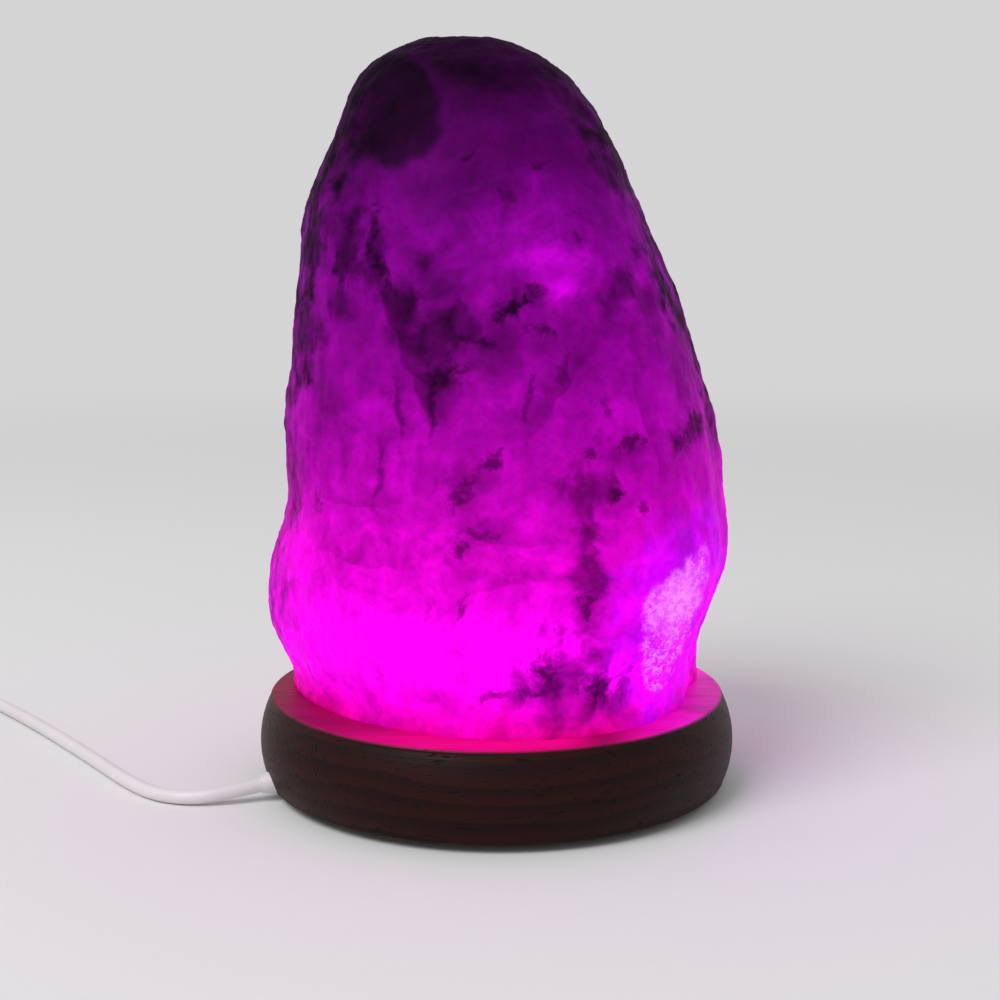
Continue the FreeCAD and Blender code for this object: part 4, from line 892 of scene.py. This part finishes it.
SPILL_FAR = shown(120, 0, 52)
SPILL_FRONT = shown(236, 0, 132)
SPILL_RIGHT = shown(236, 0, 190)
SPILL_NEARER = (25.0, -36.0)
SPILL_FADES_LEFT = (-44.0, -8.0)
SPILL_TURNS_VIOLET = (16.0, 34.0)
SHADOW_ON_TOP, SHADOW_FRAY, SHADOW_SOFT = (18.5, 18.0, 11.5, 20.0, 0.0, 0.72), 0.2, 0.9


def rings_of_wood(place):
    """Year rings, 0 in the spring wood and rising to 1 at the dark edge of each ring."""
    bent = drift(place * ALONG_RINGS, *RING_DRIFT)
    turn = maths("FRACT", length_of(bent + HEART_OF_TREE) / RING_WIDTH)
    return step(turn, *RING_RISES) * step(turn, *RING_DROPS)


def spill_on_top(place, patchy):
    """The crystal's light on the top face of the wood."""
    x, y, z = split(place)
    on_top = step(z, *TOP_FACE) * step(from_axis(place), *TOP_RIM)
    nearer = step(y, *SPILL_NEARER) * step(x, *SPILL_FADES_LEFT)
    colour = blend(nearer, SPILL_FAR, SPILL_FRONT)
    colour = blend(step(x, *SPILL_TURNS_VIOLET), colour, SPILL_RIGHT)
    # Where the crystal shades the top face, a painted shadow dims the painted spill.
    shadow = light_past_spots(place, patchy * SHADOW_FRAY, [SHADOW_ON_TOP], SHADOW_SOFT)
    return colour * (on_top * patchy * shadow)


def wood_finish():
    finish = Finish("wood", {"Specular IOR Level": 0.14, "Emission Strength": 1.0})
    place = place_on(finish)
    rings = rings_of_wood(place)
    figure = cloud(place * ALONG_FIGURE, *FIGURE)
    fibres = cloud(place * ALONG_FIBRES, *FIBRES)
    pores = step(cloud(place * ALONG_PORES, *PORES), *PORE_EDGE)
    shade = rings * 0.40 + figure * 0.50 + fibres * 0.45 - 0.18
    colour = blend(shade, WOOD_LIGHT, WOOD_DARK)
    colour = blend(pores * 0.8, colour, WOOD_PORE)
    tool_marks = cloud(joined(from_axis(place), z=split(place)[2]), *TOOL_MARKS)
    patchy = step(figure * 0.75 + fibres * 0.25, *PATCH_EDGE) * 0.55 + 0.45
    relief(finish, tool_marks * 0.55 + fibres * 0.25 - pores * 0.5, WOOD_DEPTH)
    finish.feed({"Base Color": colour, "Emission Color": spill_on_top(place, patchy),
                 "Roughness": 0.36 + fibres * 0.22 + pores * 0.2})
    return finish.material


dress(wood_finish(), "wood_base")
print("wooden base dressed")


# %% [markdown]
# ## Moulded plastics and rubber
# A moulded plastic has a colour that drifts a little from place to place, a fine spark-eroded
# skin from the mould, and a shine that changes where fingers have been. One function makes them
# all; colour, shine and grain are what tells them apart.

# %% Moulded plastics
PATCHES = (7.0, 4.0, 0.6)
HANDLED, HANDLED_EDGE = (2.6, 5.0, 0.7), (0.50, 0.66)


def moulded(name, duller, brighter, rough, lump, depth):
    """A moulded plastic."""
    finish = Finish(name, {"Specular IOR Level": 0.45})
    place = place_on(finish)
    patch = cloud(place, *PATCHES)
    skin = cloud(place, lump, 3.0, 0.6)
    worn = step(cloud(place, *HANDLED), *HANDLED_EDGE)
    tone = blend(patch * 0.7 + skin * 0.3, shown(*duller), shown(*brighter))
    relief(finish, skin, depth)
    finish.feed({"Base Color": tone, "Roughness": rough - 0.08 + skin * 0.10 + worn * 0.10})
    return finish.material


# Each plastic: its duller and brighter colour, roughness, and the lumps and depth of its skin.
PLASTICS = {
    "grey_plastic": ((128, 129, 132), (158, 159, 161), 0.48, 0.40, 0.020),
    "black_plastic": ((16, 16, 17), (34, 33, 34), 0.52, 0.45, 0.030),
    "white_plastic": ((222, 221, 216), (240, 239, 235), 0.38, 0.35, 0.012),
    "switch_plastic": ((221, 217, 212), (240, 237, 232), 0.34, 0.40, 0.014),
    "rocker_plastic": ((208, 203, 198), (229, 226, 221), 0.26, 0.40, 0.008),
    "plug_plastic": ((216, 212, 208), (236, 233, 229), 0.40, 0.35, 0.018),
    "cord_sheath": ((212, 203, 208), (236, 229, 233), 0.42, 0.50, 0.020),
    "red_sheath": ((150, 22, 20), (186, 36, 30), 0.40, 0.40, 0.010),
    "black_sheath": ((18, 18, 19), (34, 34, 35), 0.40, 0.40, 0.010),
    "chip": ((24, 24, 26), (44, 44, 46), 0.55, 0.25, 0.012),
    "tan_ceramic": ((158, 126, 88), (184, 152, 112), 0.50, 0.22, 0.010),
}
WORN_BY = {
    "grey_plastic": ["crystal_anchors"], "black_plastic": ["base_cover"],
    "white_plastic": ["led_housing", "cord_clamp", "plug_tongue"],
    "switch_plastic": ["switch_lower_shell", "switch_upper_shell"], "rocker_plastic": ["switch_rocker"],
    "plug_plastic": ["plug_grip"], "cord_sheath": ["cord_grommet"],
    "chip": ["colour_chip", "resistors"], "tan_ceramic": ["capacitor"],
}
plastics = {name: moulded(name, *looks) for name, looks in PLASTICS.items()}
for name, nodes in WORN_BY.items():
    dress(plastics[name], *nodes)
print("moulded finishes:", len(plastics))


# %% [markdown]
# Rubber is softer to look at: matt, with a bloom of grey dust in its pores.

# %% Rubber feet
RUBBER_SKIN = (0.5, 4.0, 0.7)
DUST, DUST_EDGE = (1.8, 5.0, 0.7), (0.52, 0.70)
RUBBER_DEPTH = 0.05


def rubber_finish():
    finish = Finish("rubber", {"Specular IOR Level": 0.25})
    place = place_on(finish)
    skin = cloud(place, *RUBBER_SKIN)
    dust = step(cloud(place, *DUST), *DUST_EDGE)
    relief(finish, skin, RUBBER_DEPTH)
    finish.feed({"Base Color": blend(dust * 0.5, shown(26, 26, 27), shown(92, 89, 86)),
                 "Roughness": 0.78 + skin * 0.15})
    return finish.material


dress(rubber_finish(), "rubber_feet")
print("rubber feet dressed")


# %% [markdown]
# ## Metals
# The screws are zinc-plated steel, the plug's shell is nickel-plated, and the contacts are gold or
# brass coloured. Plating is drawn as a mirror that has been rubbed in one direction, with smudges
# in its shine.

# %% Plated metals
SMUDGES = (3.0, 4.0, 0.65)
SCRATCH_DEPTH = 0.006
ALL_WAYS = (1.0, 1.0, 1.0)
LENGTHWAYS = (1.0, 0.08, 1.0)


def plated(name, duller, brighter, rough, rubbed, lump):
    """A plated metal. The scratches follow the axis that rubbed makes shortest; lump is their width."""
    finish = Finish(name, {"Metallic": 1.0})
    place = place_on(finish)
    scratches = cloud(place * rubbed, lump, 4.0, 0.7)
    smudges = cloud(place, *SMUDGES)
    tone = blend(scratches * 0.5 + smudges * 0.5, shown(*duller), shown(*brighter))
    relief(finish, scratches, SCRATCH_DEPTH)
    finish.feed({"Base Color": tone, "Roughness": rough + smudges * 0.18 + scratches * 0.08})
    return finish.material


dress(plated("steel", (150, 152, 156), (206, 208, 210), 0.22, ALL_WAYS, 0.8),
      "crystal_screws", "crystal_washers", "cover_screws", "housing_screws", "clamp_screws",
      "switch_screws")
dress(plated("plug_metal", (172, 172, 174), (214, 214, 212), 0.20, LENGTHWAYS, 0.35),
      "plug_shell")
dress(plated("contact_metal", (188, 150, 74), (230, 198, 122), 0.18, LENGTHWAYS, 0.35),
      "switch_terminals", "switch_contact_leaf", "plug_contacts")
print("metals dressed")


# %% [markdown]
# ## The light unit
# The board is glass fibre under green lacquer, with a ring of copper track that shows through as a
# lighter line, and the weave of the glass as a fine bump. Six light chips stand on it in a circle.
# Each is a white box with a round window of clear resin, which glows: magenta on the left, violet
# on the right, as the crystal shows. Folding the circle into six equal slices puts a window on
# every chip with one drawing. The frosted cap over them is milky and glows with both colours.

# %% Board, light chips and cap
CHIPS_AT = 7.4
CHIP_COUNT = 6
WINDOW_EDGE = (1.35, 1.15)
TRACK_AT = 9.9
TRACK_EDGE = (0.45, 0.30)
SPOKE_EDGE = (0.06, 0.03)
SPOKES_FROM = (2.0, 3.0)
ONE_WEAVE, OTHER_WEAVE = (1.0, 0.3, 1.0), (0.3, 1.0, 1.0)
WEAVE = (0.35, 2.0)
RESIN = (0.4, 3.0)
FROST = (0.35, 4.0, 0.7)
CAP_BRIGHT = (15.0, 6.0)
GLOW_LEFT = (1.0, 0.02, 0.75)
GLOW_RIGHT = (0.45, 0.08, 1.0)
CHIPS_BLEND, CAP_BLENDS = 6.0, 9.0
RESIN_SWING, FROST_SWING = 0.6, 0.4
BOARD_DEPTH, CHIP_DEPTH, FROST_DEPTH = 0.05, 0.05, 0.03


def slice_place(place):
    """How far round a place is from the nearest chip, in slices: at most half a slice."""
    x, y, _ = split(place)
    turn = maths("ARCTAN2", y, x) / (2 * math.pi)
    return maths("PINGPONG", turn * CHIP_COUNT, 0.5)


def two_colours(place, reach):
    """The colour of the light: magenta on the left, violet on the right."""
    side = step(split(place)[0], -reach, reach)
    return blend(side, GLOW_LEFT, GLOW_RIGHT)


def board_finish():
    finish = Finish("board", {"Specular IOR Level": 0.5})
    place = place_on(finish)
    away = from_axis(place)
    ring = step(maths("ABSOLUTE", away - TRACK_AT), *TRACK_EDGE)
    spokes = step(slice_place(place), *SPOKE_EDGE) * step(away, *SPOKES_FROM)
    track = maths("MAXIMUM", ring, spokes)
    weave = cloud(place * ONE_WEAVE, *WEAVE) + cloud(place * OTHER_WEAVE, *WEAVE)
    relief(finish, track * 0.6 + weave * 0.2, BOARD_DEPTH)
    finish.feed({"Base Color": blend(track, shown(16, 74, 44), shown(38, 118, 66)),
                 "Roughness": 0.24 + weave * 0.12})
    return finish.material


def chip_light_finish():
    finish = Finish("led", {"Specular IOR Level": 0.5, "Emission Strength": 1.0})
    place = place_on(finish)
    sideways = slice_place(place) * (2 * math.pi * CHIPS_AT / CHIP_COUNT)
    from_chip = length_of(joined(sideways, from_axis(place) - CHIPS_AT))
    window = step(from_chip, *WINDOW_EDGE)
    resin = cloud(place, *RESIN)
    relief(finish, resin * 0.3 - window * 0.7, CHIP_DEPTH)
    light = two_colours(place, CHIPS_BLEND) * (window * swung(resin, RESIN_SWING))
    finish.feed({"Base Color": blend(window, shown(226, 226, 222), shown(206, 190, 120)),
                 "Emission Color": light,
                 "Roughness": 0.30 + resin * 0.2})
    return finish.material


def cap_finish():
    finish = Finish("frosted_plastic", {"Specular IOR Level": 0.4, "Emission Strength": 1.0})
    place = place_on(finish)
    frost = cloud(place, *FROST)
    bright = step(from_axis(place), *CAP_BRIGHT) * 0.55 + 0.25
    relief(finish, frost, FROST_DEPTH)
    light = two_colours(place, CAP_BLENDS) * (bright * swung(frost, FROST_SWING))
    finish.feed({"Base Color": blend(frost, shown(206, 202, 208), shown(236, 234, 238)),
                 "Emission Color": light,
                 "Roughness": 0.45 + frost * 0.25})
    return finish.material


dress(board_finish(), "led_board")
dress(chip_light_finish(), "colour_leds")
dress(cap_finish(), "led_lens")
print("light unit dressed, with", CHIP_COUNT, "chips")


# %% [markdown]
# ## The wires inside
# The lead goes on inside the base as far as the clamp, where its two cores come out: red and
# black, each 1.1 mm thick. Both cores also go through the switch: black straight from end to end,
# red to the two terminals. They are curves like the lead itself, with the CAD model's points.

# %% Draw the inner wires
CORE_DIAMETER = 0.0011


def metres(*points):
    """Points written in millimetres, as metres."""
    return [tuple(number / MM_PER_METRE for number in point) for point in points]


INNER_LEAD = metres((-39.9, -13.74, 3.65), (-28.84, -9.93, 5.3), (-24.96, -8.6, 6.6),
                    (-18.72, -6.45, 6.6))
RED_CORE = metres((-18.52, -7.03, 6.6), (-16.25, -6.25, 6.95), (-11.74, -5.21, 7.2),
                  (-6.91, -5.13, 7.6), (-6.91, -5.13, 13.0))
BLACK_CORE = metres((-18.92, -5.86, 6.6), (-16.65, -5.08, 6.95), (-12.46, -3.13, 7.2),
                    (-8.6, -0.21, 7.6), (-8.6, -0.21, 13.0))
SWITCH_BLACK = metres((-157.62, 35.2, 4.6), (-157.9, 31.2, 4.1), (-160.4, 26.6, 2.4),
                      (-160.4, 6.4, 2.4), (-157.9, 1.8, 4.1), (-157.62, -2.2, 4.6))
SWITCH_RED_NEAR = metres((-156.38, 35.2, 4.6), (-156.1, 31.2, 4.2), (-155.1, 27.6, 2.6),
                         (-153.9, 23.9, 2.4))
SWITCH_RED_FAR = metres((-156.38, -2.2, 4.6), (-156.1, 1.8, 4.2), (-155.1, 5.4, 2.6),
                        (-153.9, 9.1, 2.4))
INNER_WIRES = [
    ("lead_inside", "inner_lead", [INNER_LEAD], CORD_DIAMETER, "cord_sheath"),
    ("red_core", "red_conductor", [RED_CORE], CORE_DIAMETER, "red_sheath"),
    ("black_core", "black_conductor", [BLACK_CORE], CORE_DIAMETER, "black_sheath"),
    ("switch_black_core", "switch_black_conductor", [SWITCH_BLACK], CORE_DIAMETER, "black_sheath"),
    ("switch_red_cores", "switch_red_conductors", [SWITCH_RED_NEAR, SWITCH_RED_FAR], CORE_DIAMETER,
     "red_sheath"),
]
for name, node, runs, diameter, finish_name in INNER_WIRES:
    wire = lay_cord(name, runs, diameter)
    wire.data.materials.append(plastics[finish_name])
    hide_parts(node)
for lead in (lead_to_switch, lead_to_plug):
    lead.data.materials.append(plastics["cord_sheath"])
print("inner wires:", len(INNER_WIRES))
